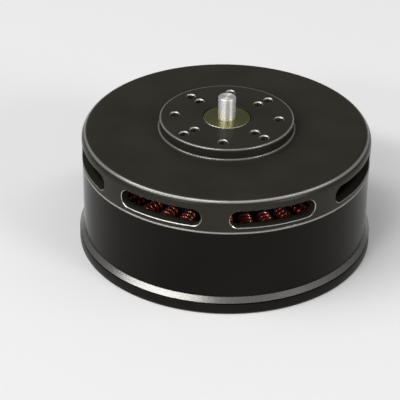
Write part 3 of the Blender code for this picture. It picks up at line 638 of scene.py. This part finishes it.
def make_bearing(tag, low, high):
    """Turn the races of one bearing, and set balls and their cage between them."""
    middle = (low + high) / 2
    outer_land = BEARING_RADIUS - RACE_WALL
    inner_land = journal_bore + RACE_WALL
    outer = [(BEARING_RADIUS - RACE_EDGE, low), (BEARING_RADIUS, low + RACE_EDGE),
             (BEARING_RADIUS, high - RACE_EDGE), (BEARING_RADIUS - RACE_EDGE, high), (outer_land, high)]
    outer += race_groove(outer_land, GROOVE_DEPTH, middle) + [(outer_land, low)]
    inner = [(journal_bore, low), (journal_bore, high), (inner_land, high)]
    inner += race_groove(inner_land, -GROOVE_DEPTH, middle) + [(inner_land, low)]
    races = (turn("race_outer_" + tag, outer, BORE_STEPS), turn("race_inner_" + tag, inner, BORE_STEPS))
    pitch = (outer_land + inner_land) / 2
    rails = []
    for height in (middle - RAIL_OFFSET, middle + RAIL_OFFSET):
        rail = [(pitch - RAIL_WIDTH, height - RAIL_HALF), (pitch + RAIL_WIDTH, height - RAIL_HALF),
                (pitch + RAIL_WIDTH, height + RAIL_HALF), (pitch - RAIL_WIDTH, height + RAIL_HALF)]
        rails.append(turn("cage_rail", rail, BORE_STEPS))
    deselect()
    ball = (outer_land - inner_land) / 2 + GROOVE_DEPTH - BALL_GAP
    bpy.ops.mesh.primitive_uv_sphere_add(segments=24, ring_count=14, radius=ball, location=(pitch, 0, middle))
    sphere = bpy.context.object
    bpy.ops.object.transform_apply(location=True, rotation=False, scale=False)
    bpy.ops.object.shade_smooth()
    return (*races, join(ring_of(sphere, BALL_COUNT) + rails, "caged_balls_" + tag))


bearings = {}
for tag in ("upper", "lower"):
    race_low, race_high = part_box("outer_race_" + tag)
    bearings[tag] = make_bearing(tag, race_low.z, race_high.z)
    print("bearing", tag, "from", round(race_low.z, 4), "to", round(race_high.z, 4))

# %% [markdown]
# The circlip is a ring with a mouth. It could be a bent bar, but it is simpler to turn it whole, delete the
# faces in the mouth and fill the two cut ends.

# %% Make the circlip
CLIP_WIDTH = 0.0028
CLIP_MOUTH = math.radians(25)
clip_low, clip_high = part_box("shaft_circlip")
clip_inner = groove_radius + FIT
clip_outer = clip_inner + CLIP_WIDTH
circlip = turn("circlip", [(clip_inner, clip_low.z), (clip_outer, clip_low.z), (clip_outer, clip_high.z),
                           (clip_inner, clip_high.z)], BORE_STEPS)
pick(circlip, "FACE", lambda face: abs(math.atan2(face.center.y, face.center.x)) < CLIP_MOUTH)
bpy.ops.mesh.delete(type="FACE")
bpy.ops.mesh.select_all(action="SELECT")
bpy.ops.mesh.fill_holes(sides=4)
leave_outwards()
bpy.ops.object.shade_smooth_by_angle(angle=SMOOTH_ANGLE)
tell(circlip)

# %% [markdown]
# ## The windings
# Behind the windows, every tooth carries a coil of thick enamelled wire. One phase is a single unbroken
# wire: round a tooth, on to its neighbour, under the back iron to the next pair, and so on round the stator.
# The route is a list of points. A coil ends a quarter of a turn early, on the other side of its tooth, and
# the links of the three phases run at radii and heights of their own, so that they pass clear of each other.

# %% Work out the route of a wire
TOOTH_COUNT = 36
TOOTH_PITCH = FULL_TURN / TOOTH_COUNT
TOOTH_HALF = 0.00188
PHASE_LETTERS = "abc"
PHASE_COUNT = len(PHASE_LETTERS)
PAIR_STEP = 2 * PHASE_COUNT
PAIR_COUNT = TOOTH_COUNT // PAIR_STEP
WIRE = 0.0021
TURNS = 4 - 0.25
TURN_PITCH = 0.0027
LOOP_POINTS = 20
LOOP_START = math.radians(225)
ROUNDNESS = 3.2
BACK_IRON = 0.0120
COIL_GAP = 0.0013
FIRST_TURN = core_bore + BACK_IRON + COIL_GAP
INSULATION = 0.0002
SIDE = TOOTH_HALF + INSULATION + WIRE / 2
END_RISE = 0.0009
LEAD_DROP = 0.0027
LINK_STEP = 0.0025
LINK_SPACING = 0.0030
LINK_GAP = 0.0025
LINK_RADIUS = shoulder + LINK_GAP
LAST_LINK = 2


def by_tooth(tooth, radius, across, height):
    angle = tooth * TOOTH_PITCH
    x = radius * math.cos(angle) - across * math.sin(angle)
    y = radius * math.sin(angle) + across * math.cos(angle)
    return (x, y, height)


def rounded(value):
    """The sine or cosine of a loop, pushed out to make long straight legs and tight corners."""
    return math.copysign(abs(value) ** (2 / ROUNDNESS), value)


def coil(tooth):
    """The turns round one tooth, from its lower left corner outwards to its lower right."""
    top = core_high.z + FIT + WIRE / 2 + END_RISE
    bottom = core_low.z - FIT - WIRE / 2
    middle = (top + bottom) / 2
    half = (top - bottom) / 2
    points = []
    for step in range(int(TURNS * LOOP_POINTS) + 1):
        angle = LOOP_START - FULL_TURN * step / LOOP_POINTS
        radius = FIRST_TURN + TURN_PITCH * step / LOOP_POINTS
        points.append(by_tooth(tooth, radius, SIDE * rounded(math.cos(angle)),
                               middle + half * rounded(math.sin(angle))))
    return points


def phase_points(phase):
    """The whole route of one phase, from its first end under the core to its last."""
    under = core_low.z - FIT - WIRE / 2 - LEAD_DROP
    radius = LINK_RADIUS + LINK_SPACING * phase
    height = under - LINK_STEP * phase
    outer = FIRST_TURN + TURN_PITCH * TURNS
    points = [by_tooth(2 * phase - 1, radius, 0, height), by_tooth(2 * phase, radius, 0, height)]
    for pair in range(PAIR_COUNT):
        start = 2 * phase + PAIR_STEP * pair
        points += coil(start)
        points += [by_tooth(start, outer, SIDE, under), by_tooth(start + 1, FIRST_TURN, -SIDE, under)]
        points += coil(start + 1)
        points.append(by_tooth(start + 1, outer, SIDE, under))
        ahead = LAST_LINK if pair == PAIR_COUNT - 1 else PAIR_STEP - 1
        points += [by_tooth(start + 1 + step / 2, radius, 0, height) for step in range(2 * ahead + 1)]
    return points


print("link radius %.4f, first turn at %.4f" % (LINK_RADIUS, FIRST_TURN))

# %% [markdown]
# A row of cylinders would show its joints at every corner. A curve through the points of a route, with a
# round bevel, gives one smooth wire. The curve is then made a mesh, as a finished piece has to be.

# %% Wind the phases
def add(name, data):
    """A new object with some data, in the scene."""
    made = bpy.data.objects.new(name, data)
    bpy.context.scene.collection.objects.link(made)
    return made


def wind(phase):
    name = "coil_phase_" + PHASE_LETTERS[phase]
    points = phase_points(phase)
    curve = bpy.data.curves.new(name, "CURVE")
    curve.dimensions = "3D"
    curve.bevel_depth = WIRE / 2
    curve.bevel_resolution = 3
    curve.use_fill_caps = True
    spline = curve.splines.new("POLY")
    spline.points.add(len(points) - 1)
    for point, place in zip(spline.points, points):
        point.co = (*place, 1)
    select(add(name, curve))
    bpy.ops.object.convert(target="MESH")
    wire = bpy.context.object
    bpy.ops.object.shade_smooth()
    print(name, len(points), "points", len(wire.data.polygons), "faces")
    return wire


coils = [wind(phase) for phase in range(PHASE_COUNT)]

# %% [markdown]
# ## Finishes
# Three effects are shared, so each is a node group. The first gives the fine rings that a lathe leaves: noise
# read along radius plus height, which changes across a face and up a wall alike. The second is a soft mottle
# of two noises. The third is a band round the axis, for edges that are worn or cut bright and for painted
# highlights along edges: it is full within half its width and gone at one and a half.

# %% Helpers for node trees
def feed(tree, socket, value):
    """Put a number or a colour on a socket, or link another socket to it."""
    if isinstance(value, (int, float)):
        socket.default_value = value
    elif isinstance(value, tuple):
        socket.default_value = (*value, 1.0)
    else:
        tree.links.new(value, socket)


def math_node(tree, operation, *values, clamp=False):
    node = tree.nodes.new("ShaderNodeMath")
    node.operation = operation
    node.use_clamp = clamp
    for socket, value in zip(node.inputs, values):
        feed(tree, socket, value)
    return node.outputs[0]


def radius_and_height(tree, position):
    """Distance from the Z axis and height of a position socket."""
    split = tree.nodes.new("ShaderNodeSeparateXYZ")
    tree.links.new(position, split.inputs[0])
    across = math_node(tree, "MULTIPLY", split.outputs[0], split.outputs[0])
    along = math_node(tree, "MULTIPLY", split.outputs[1], split.outputs[1])
    radius = math_node(tree, "SQRT", math_node(tree, "ADD", across, along))
    return radius, split.outputs[2]


def new_group(name, values, outputs):
    """A group with a position and some values as inputs, and with the outputs that are named."""
    group = bpy.data.node_groups.new(name, "ShaderNodeTree")
    group.interface.new_socket(name="Position", in_out="INPUT", socket_type="NodeSocketVector")
    for socket, value in values.items():
        made = group.interface.new_socket(name=socket, in_out="INPUT", socket_type="NodeSocketFloat")
        made.default_value = value
    for socket in outputs:
        group.interface.new_socket(name=socket, in_out="OUTPUT", socket_type="NodeSocketFloat")
    entry = group.nodes.new("NodeGroupInput")
    leave = group.nodes.new("NodeGroupOutput")
    return group, entry.outputs, leave.inputs


# %% [markdown]
# The groups put out masks and values that change over the surface, and nothing else. Every material that
# uses one gives it values of its own.

# %% Shared effects
BAND_REACH = 1.5


def make_lathe_group():
    group, entry, leave = new_group("lathe_rings", {"Rings": 4000.0}, ["Grain"])
    radius, height = radius_and_height(group, entry["Position"])
    place = math_node(group, "MULTIPLY", math_node(group, "ADD", radius, height), entry["Rings"])
    noise = group.nodes.new("ShaderNodeTexNoise")
    noise.noise_dimensions = "1D"
    noise.inputs["Scale"].default_value = 1.0
    noise.inputs["Detail"].default_value = 3.0
    group.links.new(place, noise.inputs["W"])
    group.links.new(noise.outputs[0], leave["Grain"])
    return group


def make_mottle_group():
    group, entry, leave = new_group("soft_mottle", {"Broad": 40.0, "Fine": 2500.0}, ["Cloud", "Speckle"])
    for scale, output, detail in (("Broad", "Cloud", 4.0), ("Fine", "Speckle", 2.0)):
        noise = group.nodes.new("ShaderNodeTexNoise")
        noise.inputs["Detail"].default_value = detail
        group.links.new(entry["Position"], noise.inputs["Vector"])
        group.links.new(entry[scale], noise.inputs["Scale"])
        group.links.new(noise.outputs[0], leave[output])
    return group


def make_band_group():
    values = {"Radius": 0.05, "Height": 0.05, "Width": 0.0005, "Breakup": 0.0}
    group, entry, leave = new_group("edge_band", values, ["Mask"])
    radius, height = radius_and_height(group, entry["Position"])
    across = math_node(group, "SUBTRACT", radius, entry["Radius"])
    above = math_node(group, "SUBTRACT", height, entry["Height"])
    square = math_node(group, "ADD", math_node(group, "MULTIPLY", across, across),
                       math_node(group, "MULTIPLY", above, above))
    share = math_node(group, "DIVIDE", math_node(group, "SQRT", square), entry["Width"])
    near = math_node(group, "SUBTRACT", BAND_REACH, share, clamp=True)
    broken = math_node(group, "SUBTRACT", near, entry["Breakup"], clamp=True)
    group.links.new(broken, leave["Mask"])
    return group


lathe_rings = make_lathe_group()
soft_mottle = make_mottle_group()
edge_band = make_band_group()
print("effects", [group.name for group in (lathe_rings, soft_mottle, edge_band)])

# %% [markdown]
# A material starts from the object's own coordinates. The helper adds the groups with their values, mixes the
# colour between two tones, varies the roughness and feeds a little bump, and leaves the constant values on
# the shader's own sockets. A noise stays mostly between 0.3 and 0.7, so that range is stretched to the one
# that is wanted.

# %% Material helper
class Finish:
    """One Principled material with helpers to add the shared groups to it."""

    def __init__(self, name, metallic, specular=0.5, coat=0.0, coat_roughness=0.1):
        self.material = bpy.data.materials.new(name)
        self.material.use_nodes = True
        self.tree = self.material.node_tree
        self.shader = self.tree.nodes["Principled BSDF"]
        self.position = self.tree.nodes.new("ShaderNodeTexCoord").outputs["Object"]
        self.fill(self.shader, {"Metallic": metallic, "Specular IOR Level": specular, "Coat Weight": coat,
                                "Coat Roughness": coat_roughness})
        print("finish", name)

    def fill(self, node, values):
        for name, value in values.items():
            feed(self.tree, node.inputs[name], value)

    def group(self, group, **values):
        node = self.tree.nodes.new("ShaderNodeGroup")
        node.node_tree = group
        self.fill(node, {"Position": self.position, **values})
        return node.outputs

    def mix(self, factor, first, second):
        node = self.tree.nodes.new("ShaderNodeMix")
        node.data_type = "RGBA"
        self.fill(node, {"Factor": factor, "A": first, "B": second})
        return node.outputs["Result"]

    def span(self, value, low, high):
        node = self.tree.nodes.new("ShaderNodeMapRange")
        self.fill(node, {"Value": value, "From Min": 0.3, "From Max": 0.7, "To Min": low, "To Max": high})
        return node.outputs["Result"]

    def mottled(self, broad, fine, dark, light):
        """The outputs of a mottle, and a tone that its cloud mixes from two colours."""
        mottle = self.group(soft_mottle, Broad=broad, Fine=fine)
        return mottle, self.mix(self.span(mottle["Cloud"], 0.0, 1.0), dark, light)

    def colour(self, socket):
        self.fill(self.shader, {"Base Color": socket})

    def metal(self, socket):
        self.fill(self.shader, {"Metallic": socket})

    def roughness(self, socket):
        self.fill(self.shader, {"Roughness": socket})

    def bump(self, height, strength):
        node = self.tree.nodes.new("ShaderNodeBump")
        self.fill(node, {"Height": height, "Strength": strength, "Distance": 0.0001})
        self.fill(self.shader, {"Normal": node.outputs["Normal"]})

    def plain(self, broad, fine, dark, light, smooth, rough):
        """A mottled colour and roughness and nothing else. Gives back the outputs of the mottle."""
        mottle, tone = self.mottled(broad, fine, dark, light)
        self.colour(tone)
        self.roughness(self.span(mottle["Speckle"], smooth, rough))
        return mottle


# %% [markdown]
# The bell and the base are black anodised aluminium: a deep satin grey-black with a faint olive cast. The
# base's tones are set darker than the bell's, which is painted shade on its low rim. The rim of the bell and
# the edges of the boss get lighter, partly metallic bands: part wear where the anodising is worn towards the
# metal, part a painted highlight, set on each edge where its line of light falls. The bands could be drawn
# on a texture, but a band at a radius and a height follows a turned edge exactly. Each edge is given by its
# radius, its height and a width.

# %% Black anodised finishes
RUB_AND_HIGHLIGHT_METAL = 0.6
RUB_AND_HIGHLIGHT_SHINE = -0.05
RUB_AND_HIGHLIGHT_BREAKUP = 0.15
SATIN_SPREAD = 0.05
RUB_AND_HIGHLIGHT_INSET = 0.0002
RUB_AND_HIGHLIGHT_WIDTH = 0.0005
RIM_WIDTH = 0.0006
RIM_INSET = 0.0016
RIM_DROP = 0.0011


def anodised(name, dark, light, rough, specular, edges, rub_and_highlight_tone):
    finish = Finish(name, metallic=0.0, specular=specular)
    mottle, tone = finish.mottled(broad=45.0, fine=3000.0, dark=dark, light=light)
    rub_and_highlight = 0.0
    # Each band mixes in a lighter tone and some metal: part wear, part painted highlight.
    for radius, height, width in edges:
        breakup = finish.span(mottle["Cloud"], 0.0, RUB_AND_HIGHLIGHT_BREAKUP)
        mask = finish.group(edge_band, Radius=radius, Height=height, Width=width, Breakup=breakup)["Mask"]
        tone = finish.mix(mask, tone, rub_and_highlight_tone)
        rub_and_highlight = math_node(finish.tree, "MAXIMUM", mask, rub_and_highlight)
    finish.colour(tone)
    finish.metal(math_node(finish.tree, "MULTIPLY", rub_and_highlight, RUB_AND_HIGHLIGHT_METAL))
    satin = finish.span(mottle["Speckle"], rough - SATIN_SPREAD, rough + SATIN_SPREAD)
    finish.roughness(math_node(finish.tree, "MULTIPLY_ADD", rub_and_highlight, RUB_AND_HIGHLIGHT_SHINE, satin))
    finish.bump(finish.group(lathe_rings, Rings=5000.0)["Grain"], strength=0.004)
    return finish.material


# Painted highlights on the boss edges and on the bell's rounded rim, placed where their lines of light fall;
# they also stand for wear.
bell_edges = [(BOSS_RADIUS - RUB_AND_HIGHLIGHT_INSET, BOSS_TOP - RUB_AND_HIGHLIGHT_INSET, RUB_AND_HIGHLIGHT_WIDTH), (step_radius, step_top, RUB_AND_HIGHLIGHT_WIDTH),
              (BELL_RADIUS - RIM_INSET, CAP_TOP - RIM_DROP, RIM_WIDTH)]
bell_black = anodised("bell_black", dark=(0.0200, 0.0190, 0.0138), light=(0.0256, 0.0243, 0.0176),
                      rough=0.30, specular=0.11, edges=bell_edges, rub_and_highlight_tone=(0.32, 0.32, 0.31))
base_edges = [(BASE_RADIUS, 0.0, RIM_WIDTH)]
# Painted shade: the base gets darker tones than the bell, though both have the same black anodising.
base_black = anodised("base_black", dark=(0.0055, 0.0048, 0.0038), light=(0.0080, 0.0070, 0.0055),
                      rough=0.34, specular=0.10, edges=base_edges, rub_and_highlight_tone=(0.06, 0.06, 0.055))

# %% [markdown]
# The can is smoother than the bell: a dark semi-gloss coat over steel that mirrors the floor softly. Its
# top chamfer gets a light, partly metallic band from the band group, so the can keeps one material: part bare
# steel where the coat is cut through, part a painted highlight that keeps a bright line under the cap. The
# lower ring is bare, bright and finely turned.

# %% Can and lower ring finishes
CAN_RIM_METAL = 0.5
can_finish = Finish("can_black", metallic=0.0, specular=0.07)
mottle, tone = can_finish.mottled(broad=25.0, fine=1800.0, dark=(0.0065, 0.0054, 0.0044),
                                  light=(0.0095, 0.0080, 0.0064))
# Painted highlight, in part: the light tone of this band makes the chamfer a bright line all round.
rim = can_finish.group(edge_band, Radius=CAN_RADIUS - CAN_CHAMFER / 2, Height=can_high.z - CAN_CHAMFER / 2,
                       Width=0.00035, Breakup=0.0)["Mask"]
can_finish.colour(can_finish.mix(rim, tone, (0.62, 0.60, 0.56)))
can_finish.metal(math_node(can_finish.tree, "MULTIPLY", rim, CAN_RIM_METAL))
can_finish.roughness(can_finish.span(mottle["Speckle"], low=0.12, high=0.18))
can_finish.bump(can_finish.group(lathe_rings, Rings=3500.0)["Grain"], strength=0.004)
can_black = can_finish.material

ring_finish = Finish("ring_bright", metallic=0.85)
ring_finish.plain(broad=60.0, fine=2500.0, dark=(0.24, 0.235, 0.225), light=(0.26, 0.255, 0.245),
                  smooth=0.24, rough=0.30)
ring_finish.bump(ring_finish.group(lathe_rings, Rings=6000.0)["Grain"], strength=0.01)
ring_bright = ring_finish.material

# %% [markdown]
# Bare metals share one recipe: a bright metallic base whose tone and roughness follow the lathe rings. The
# shaft is ground steel, and the collar has a yellow-olive passivation. On both, highlights stretch across
# the cut, so they are anisotropic, with the tangent running round the axis.

# %% Bare metal finishes
SMOOTHER = 0.05
ROUGHER = 0.07


def bare_metal(name, dark, light, rough, marks=0.03, anisotropic=0.0, metallic=1.0):
    finish = Finish(name, metallic=metallic)
    grain = finish.group(lathe_rings, Rings=4500.0)["Grain"]
    mottle = finish.group(soft_mottle, Broad=70.0, Fine=2600.0)
    half_grain = math_node(finish.tree, "MULTIPLY", grain, 0.5)
    blend = math_node(finish.tree, "MULTIPLY_ADD", mottle["Cloud"], 0.5, half_grain)
    finish.colour(finish.mix(finish.span(blend, 0.0, 1.0), dark, light))
    finish.roughness(finish.span(grain, rough - SMOOTHER, rough + ROUGHER))
    finish.bump(grain, marks)
    finish.fill(finish.shader, {"Anisotropic": anisotropic, "Anisotropic Rotation": 0.25})
    if anisotropic:
        tangent = finish.tree.nodes.new("ShaderNodeTangent")
        tangent.direction_type = "RADIAL"
        tangent.axis = "Z"
        finish.fill(finish.shader, {"Tangent": tangent.outputs[0]})
    return finish.material


shaft_steel = bare_metal("shaft_steel", (0.80, 0.79, 0.77), (0.90, 0.89, 0.87), rough=0.48,
                         marks=0.003, anisotropic=0.8, metallic=0.8)
collar_metal = bare_metal("collar_metal", (0.27, 0.265, 0.10), (0.37, 0.36, 0.15), rough=0.28,
                          anisotropic=0.4)
cut_edge = bare_metal("cut_edge", (0.38, 0.38, 0.36), (0.52, 0.52, 0.50), rough=0.35)
bearing_steel = bare_metal("bearing_steel", (0.50, 0.50, 0.50), (0.66, 0.66, 0.65), rough=0.20)
tube_aluminium = bare_metal("tube_aluminium", (0.48, 0.48, 0.48), (0.62, 0.62, 0.61), rough=0.32)
ball_brass = bare_metal("ball_brass", (0.45, 0.40, 0.30), (0.60, 0.55, 0.45), rough=0.18)
magnet_nickel = bare_metal("magnet_nickel", (0.42, 0.42, 0.41), (0.55, 0.55, 0.53), rough=0.28, marks=0.02)
screw_black = bare_metal("screw_black", (0.030, 0.030, 0.031), (0.055, 0.055, 0.057), rough=0.38)

# %% [markdown]
# The windings are copper under a red-brown enamel, so they get a clear coat over a base that is mostly
# metallic. The core is epoxy-coated laminations. Modelled sheets would take dozens of loops round every tooth
# for lines that hardly show, so a wave along Z gives them as bump. The grommet is matt rubber.

# %% Winding, core and rubber finishes
wire_finish = Finish("enamelled_copper", metallic=0.75, coat=1.0, coat_roughness=0.05)
mottle = wire_finish.plain(broad=160.0, fine=3000.0, dark=(0.32, 0.048, 0.032),
                           light=(0.46, 0.085, 0.056), smooth=0.24, rough=0.32)
wire_finish.bump(mottle["Speckle"], strength=0.01)
enamelled_copper = wire_finish.material

core_finish = Finish("core_coating", metallic=0.0, specular=0.4)
core_finish.plain(broad=120.0, fine=2500.0, dark=(0.008, 0.009, 0.014), light=(0.014, 0.016, 0.024),
                  smooth=0.45, rough=0.60)
sheets = core_finish.tree.nodes.new("ShaderNodeTexWave")
sheets.wave_type = "BANDS"
sheets.bands_direction = "Z"
core_finish.fill(sheets, {"Vector": core_finish.position, "Scale": 450.0})
core_finish.bump(sheets.outputs["Fac"], strength=0.25)
core_coating = core_finish.material

rubber_finish = Finish("grommet_rubber", metallic=0.0, specular=0.3)
mottle = rubber_finish.plain(broad=150.0, fine=4000.0, dark=(0.009, 0.009, 0.009),
                             light=(0.016, 0.016, 0.016), smooth=0.7, rough=0.85)
rubber_finish.bump(mottle["Speckle"], strength=0.15)
grommet_rubber = rubber_finish.material

# %% [markdown]
# ## Putting it together
# Each new piece gets its material, rides on the body that carries it and stands for the CAD nodes it
# covers. The magnets cover no node of their own, because the CAD model has them in the can.

# %% Dress the pieces
def dress(piece, material, slot, body, *nodes):
    piece.data.materials.clear()
    piece.data.materials.append(material)
    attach(piece, body)
    if nodes:
        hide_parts(*nodes)
    print(piece.name, "rides on", body)


dress(bell_shell, bell_black, "bell_black", "rotor", "bell_cap")
dress(can_shell, can_black, "can_black", "rotor", "flux_ring")
dress(magnet_set, magnet_nickel, "bearing_steel", "rotor")
dress(ring_trim, ring_bright, "ring_bright", "rotor", "lower_ring")
dress(turned_shaft, shaft_steel, "shaft_steel", "rotor", "shaft")
dress(turned_collar, collar_metal, "collar_metal", "rotor", "shaft_collar")
dress(circlip, screw_black, "screw_black", "rotor", "shaft_circlip")
dress(base_shell, base_black, "base_black", "stator", "base_plate")
dress(turned_seat, tube_aluminium, "machined_aluminium", "stator", "core_seat")
dress(turned_tube, tube_aluminium, "machined_aluminium", "stator", "bearing_tube")
dress(rubber_grommet, grommet_rubber, "grommet_rubber", "stator", "lead_grommet")
for wire, letter in zip(coils, PHASE_LETTERS):
    dress(wire, enamelled_copper, "enamelled_copper", "stator", "winding_phase_" + letter)
for tag, (outer, inner, balls) in bearings.items():
    dress(outer, bearing_steel, "bearing_steel", "stator", "outer_race_" + tag)
    dress(inner, bearing_steel, "bearing_steel", "rotor", "inner_race_" + tag)
    dress(balls, ball_brass, "cage_brass", tag + "_balls", "ball_set_" + tag)

# %% [markdown]
# The cap is cut after it has been anodised, so the chamfers of its windows and holes are bare metal. A band
# round the axis can't follow them, so they get a second material slot: a face belongs to it when it lies
# just inside the wall's radius in the height of the windows, or tilts just under the top of the boss inside
# the mouth of a hole. The rounded edge of the collar is cut bright in the same way.

# %% Show the cut chamfers bright
TILT_LOW = 0.05
TILT_HIGH = 0.97
MOUTH_DEEP = 1.2 * WINDOW_CHAMFER
MOUTH_SHALLOW = 0.1 * WINDOW_CHAMFER
CLEAR_OF_BORE = 0.002
CLEAR_OF_EDGE = 0.001
HOLES_FROM = COLLAR_BORE + CLEAR_OF_BORE
HOLES_TO = BOSS_RADIUS - CLEAR_OF_EDGE


def is_cap_cut(face, reach):
    in_mouth = BELL_RADIUS - MOUTH_DEEP < reach < BELL_RADIUS - MOUTH_SHALLOW
    beside_window = abs(face.center.z - WINDOW_MIDDLE) < WINDOW_HEIGHT / 2 + MOUTH_DEEP
    under_top = thread_top < face.center.z < BOSS_TOP and TILT_LOW < face.normal.z < TILT_HIGH
    return in_mouth and beside_window or under_top and HOLES_FROM < reach < HOLES_TO


def is_collar_cut(face, reach):
    in_round = reach > COLLAR_RADIUS - COLLAR_ROUND and face.center.z < collar_top
    return in_round and TILT_LOW < face.normal.z < TILT_HIGH


for piece, is_cut in ((bell_shell, is_cap_cut), (turned_collar, is_collar_cut)):
    piece.data.materials.append(cut_edge)
    for face in piece.data.polygons:
        if is_cut(face, math.hypot(face.center.x, face.center.y)):
            face.material_index = 1
    print(piece.name, "cut faces", sum(face.material_index for face in piece.data.polygons))

# %% [markdown]
# The core, the spacer and the screws are shown as the frame has them. Little of them is seen, and their
# shapes are already right, so they only get better materials.

# %% Dress the kept nodes
SCREW_COUNT = 4
kept = {"stator_core": core_coating, "shaft_spacer": bearing_steel}
for number in range(1, SCREW_COUNT + 1):
    kept["collar_screw_%d" % number] = screw_black
    kept["tube_screw_%d" % number] = screw_black
for name, material in kept.items():
    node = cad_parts[name]
    node.data.materials.clear()
    node.data.materials.append(material)
print("kept nodes", sorted(kept))

# %% [markdown]
# ## Stage, light and camera
# The floor is a plain pale sheet, against which black metal stands out. The world could be a bright room,
# but one even grey is enough to fill the shadows, and it leaves the highlights to the lamps.

# %% Floor and world
FLOOR_SIZE = 8
FLOOR_DROP = 0.0002
AMBIENT = 0.16
deselect()
bpy.ops.mesh.primitive_plane_add(size=FLOOR_SIZE, location=(0, 0, -FLOOR_DROP))
floor = bpy.context.object
floor.name = "studio_floor"
paper = bpy.data.materials.new("floor_paper")
paper.use_nodes = True
paper_shader = paper.node_tree.nodes["Principled BSDF"]
for socket, value in {"Base Color": (0.82, 0.82, 0.82), "Roughness": 0.9, "Specular IOR Level": 0.1}.items():
    feed(paper.node_tree, paper_shader.inputs[socket], value)
floor.data.materials.append(paper)

world = bpy.data.worlds.new("studio_world")
bpy.context.scene.world = world
world.use_nodes = True
backdrop = world.node_tree.nodes["Background"]
backdrop.inputs["Color"].default_value = (1.0, 1.0, 1.0, 1.0)
backdrop.inputs["Strength"].default_value = AMBIENT
print("floor", FLOOR_SIZE, "m wide, ambient", AMBIENT)

# %% [markdown]
# Black metal shows little but its highlights, so the lamps are placed by them: the bright line round the edge
# of the bell runs from the left to the front, which takes a strip of light that a mirror at each of those
# places would show. The lamps stand far off, so that the floor is evenly lit and doesn't clip to white.

# %% Lamps
LAMP_DISTANCE = 6.0
LAMP_AIM = Vector((0, 0, 0.05))


def softbox(name, start, end, width, power):
    """A strip of light that runs from one direction to another, seen from the motor."""
    middle = (Vector(start) + Vector(end)) / 2
    run = (Vector(end) - Vector(start)) * LAMP_DISTANCE
    lamp = bpy.data.lights.new(name, "AREA")
    lamp.shape = "RECTANGLE"
    lamp.size = run.length
    lamp.size_y = width
    lamp.energy = power
    box = add(name, lamp)
    back = middle.normalized()
    side = (run - run.dot(back) * back).normalized()
    turned = Matrix((side, back.cross(side), back)).transposed().to_4x4()
    box.matrix_world = Matrix.Translation(LAMP_AIM + middle * LAMP_DISTANCE) @ turned
    print("lamp", name, "%.2f m long" % run.length)


softbox("over_left", (-0.71, 0.16, 0.69), (0.00, -0.36, 0.93), width=1.50, power=116)
softbox("over_right", (0.10, -0.36, 0.92), (0.74, 0.14, 0.68), width=1.12, power=45)
softbox("front_strip", (-0.80, -0.10, 0.42), (-0.18, -0.60, 0.60), width=0.67, power=112)
softbox("low_box", (-0.61, -0.72, 0.45), (-0.42, -0.85, 0.45), width=0.60, power=60)
softbox("right_fill", (0.80, -0.46, 0.38), (0.62, -0.70, 0.38), width=1.50, power=106)

# %% [markdown]
# The camera stands where the photograph was taken from: its height, distance, lens and slight roll were
# solved from the ellipses of the bell and the base and from the outlines at both sides.

# %% Camera
ELEVATION = math.radians(31.320)
ROLL = math.radians(0.732)
DISTANCE = 0.84397
SIDE_STEP = -0.012909
RISE_STEP = -0.037215
FOCAL_PIXELS = 1675.4
PHOTO_PIXELS = 400
SENSOR = 36.0

backward = Vector((0, -math.cos(ELEVATION), math.sin(ELEVATION)))
right = Vector((1, 0, 0))
up = Vector((0, math.sin(ELEVATION), math.cos(ELEVATION)))
eye = Vector((0, 0, CAP_TOP)) + backward * DISTANCE + right * SIDE_STEP + up * RISE_STEP
rolled_right = right * math.cos(ROLL) + up * math.sin(ROLL)
rolled_up = up * math.cos(ROLL) - right * math.sin(ROLL)
camera = bpy.data.cameras.new("photo_camera")
camera.sensor_width = SENSOR
camera.lens = FOCAL_PIXELS * SENSOR / PHOTO_PIXELS
stand = add("photo_camera", camera)
turned = Matrix((rolled_right, rolled_up, backward)).transposed().to_4x4()
stand.matrix_world = Matrix.Translation(eye) @ turned
bpy.context.scene.camera = stand
bpy.context.scene.view_settings.view_transform = "Standard"
print("camera lens %.1f mm" % camera.lens)
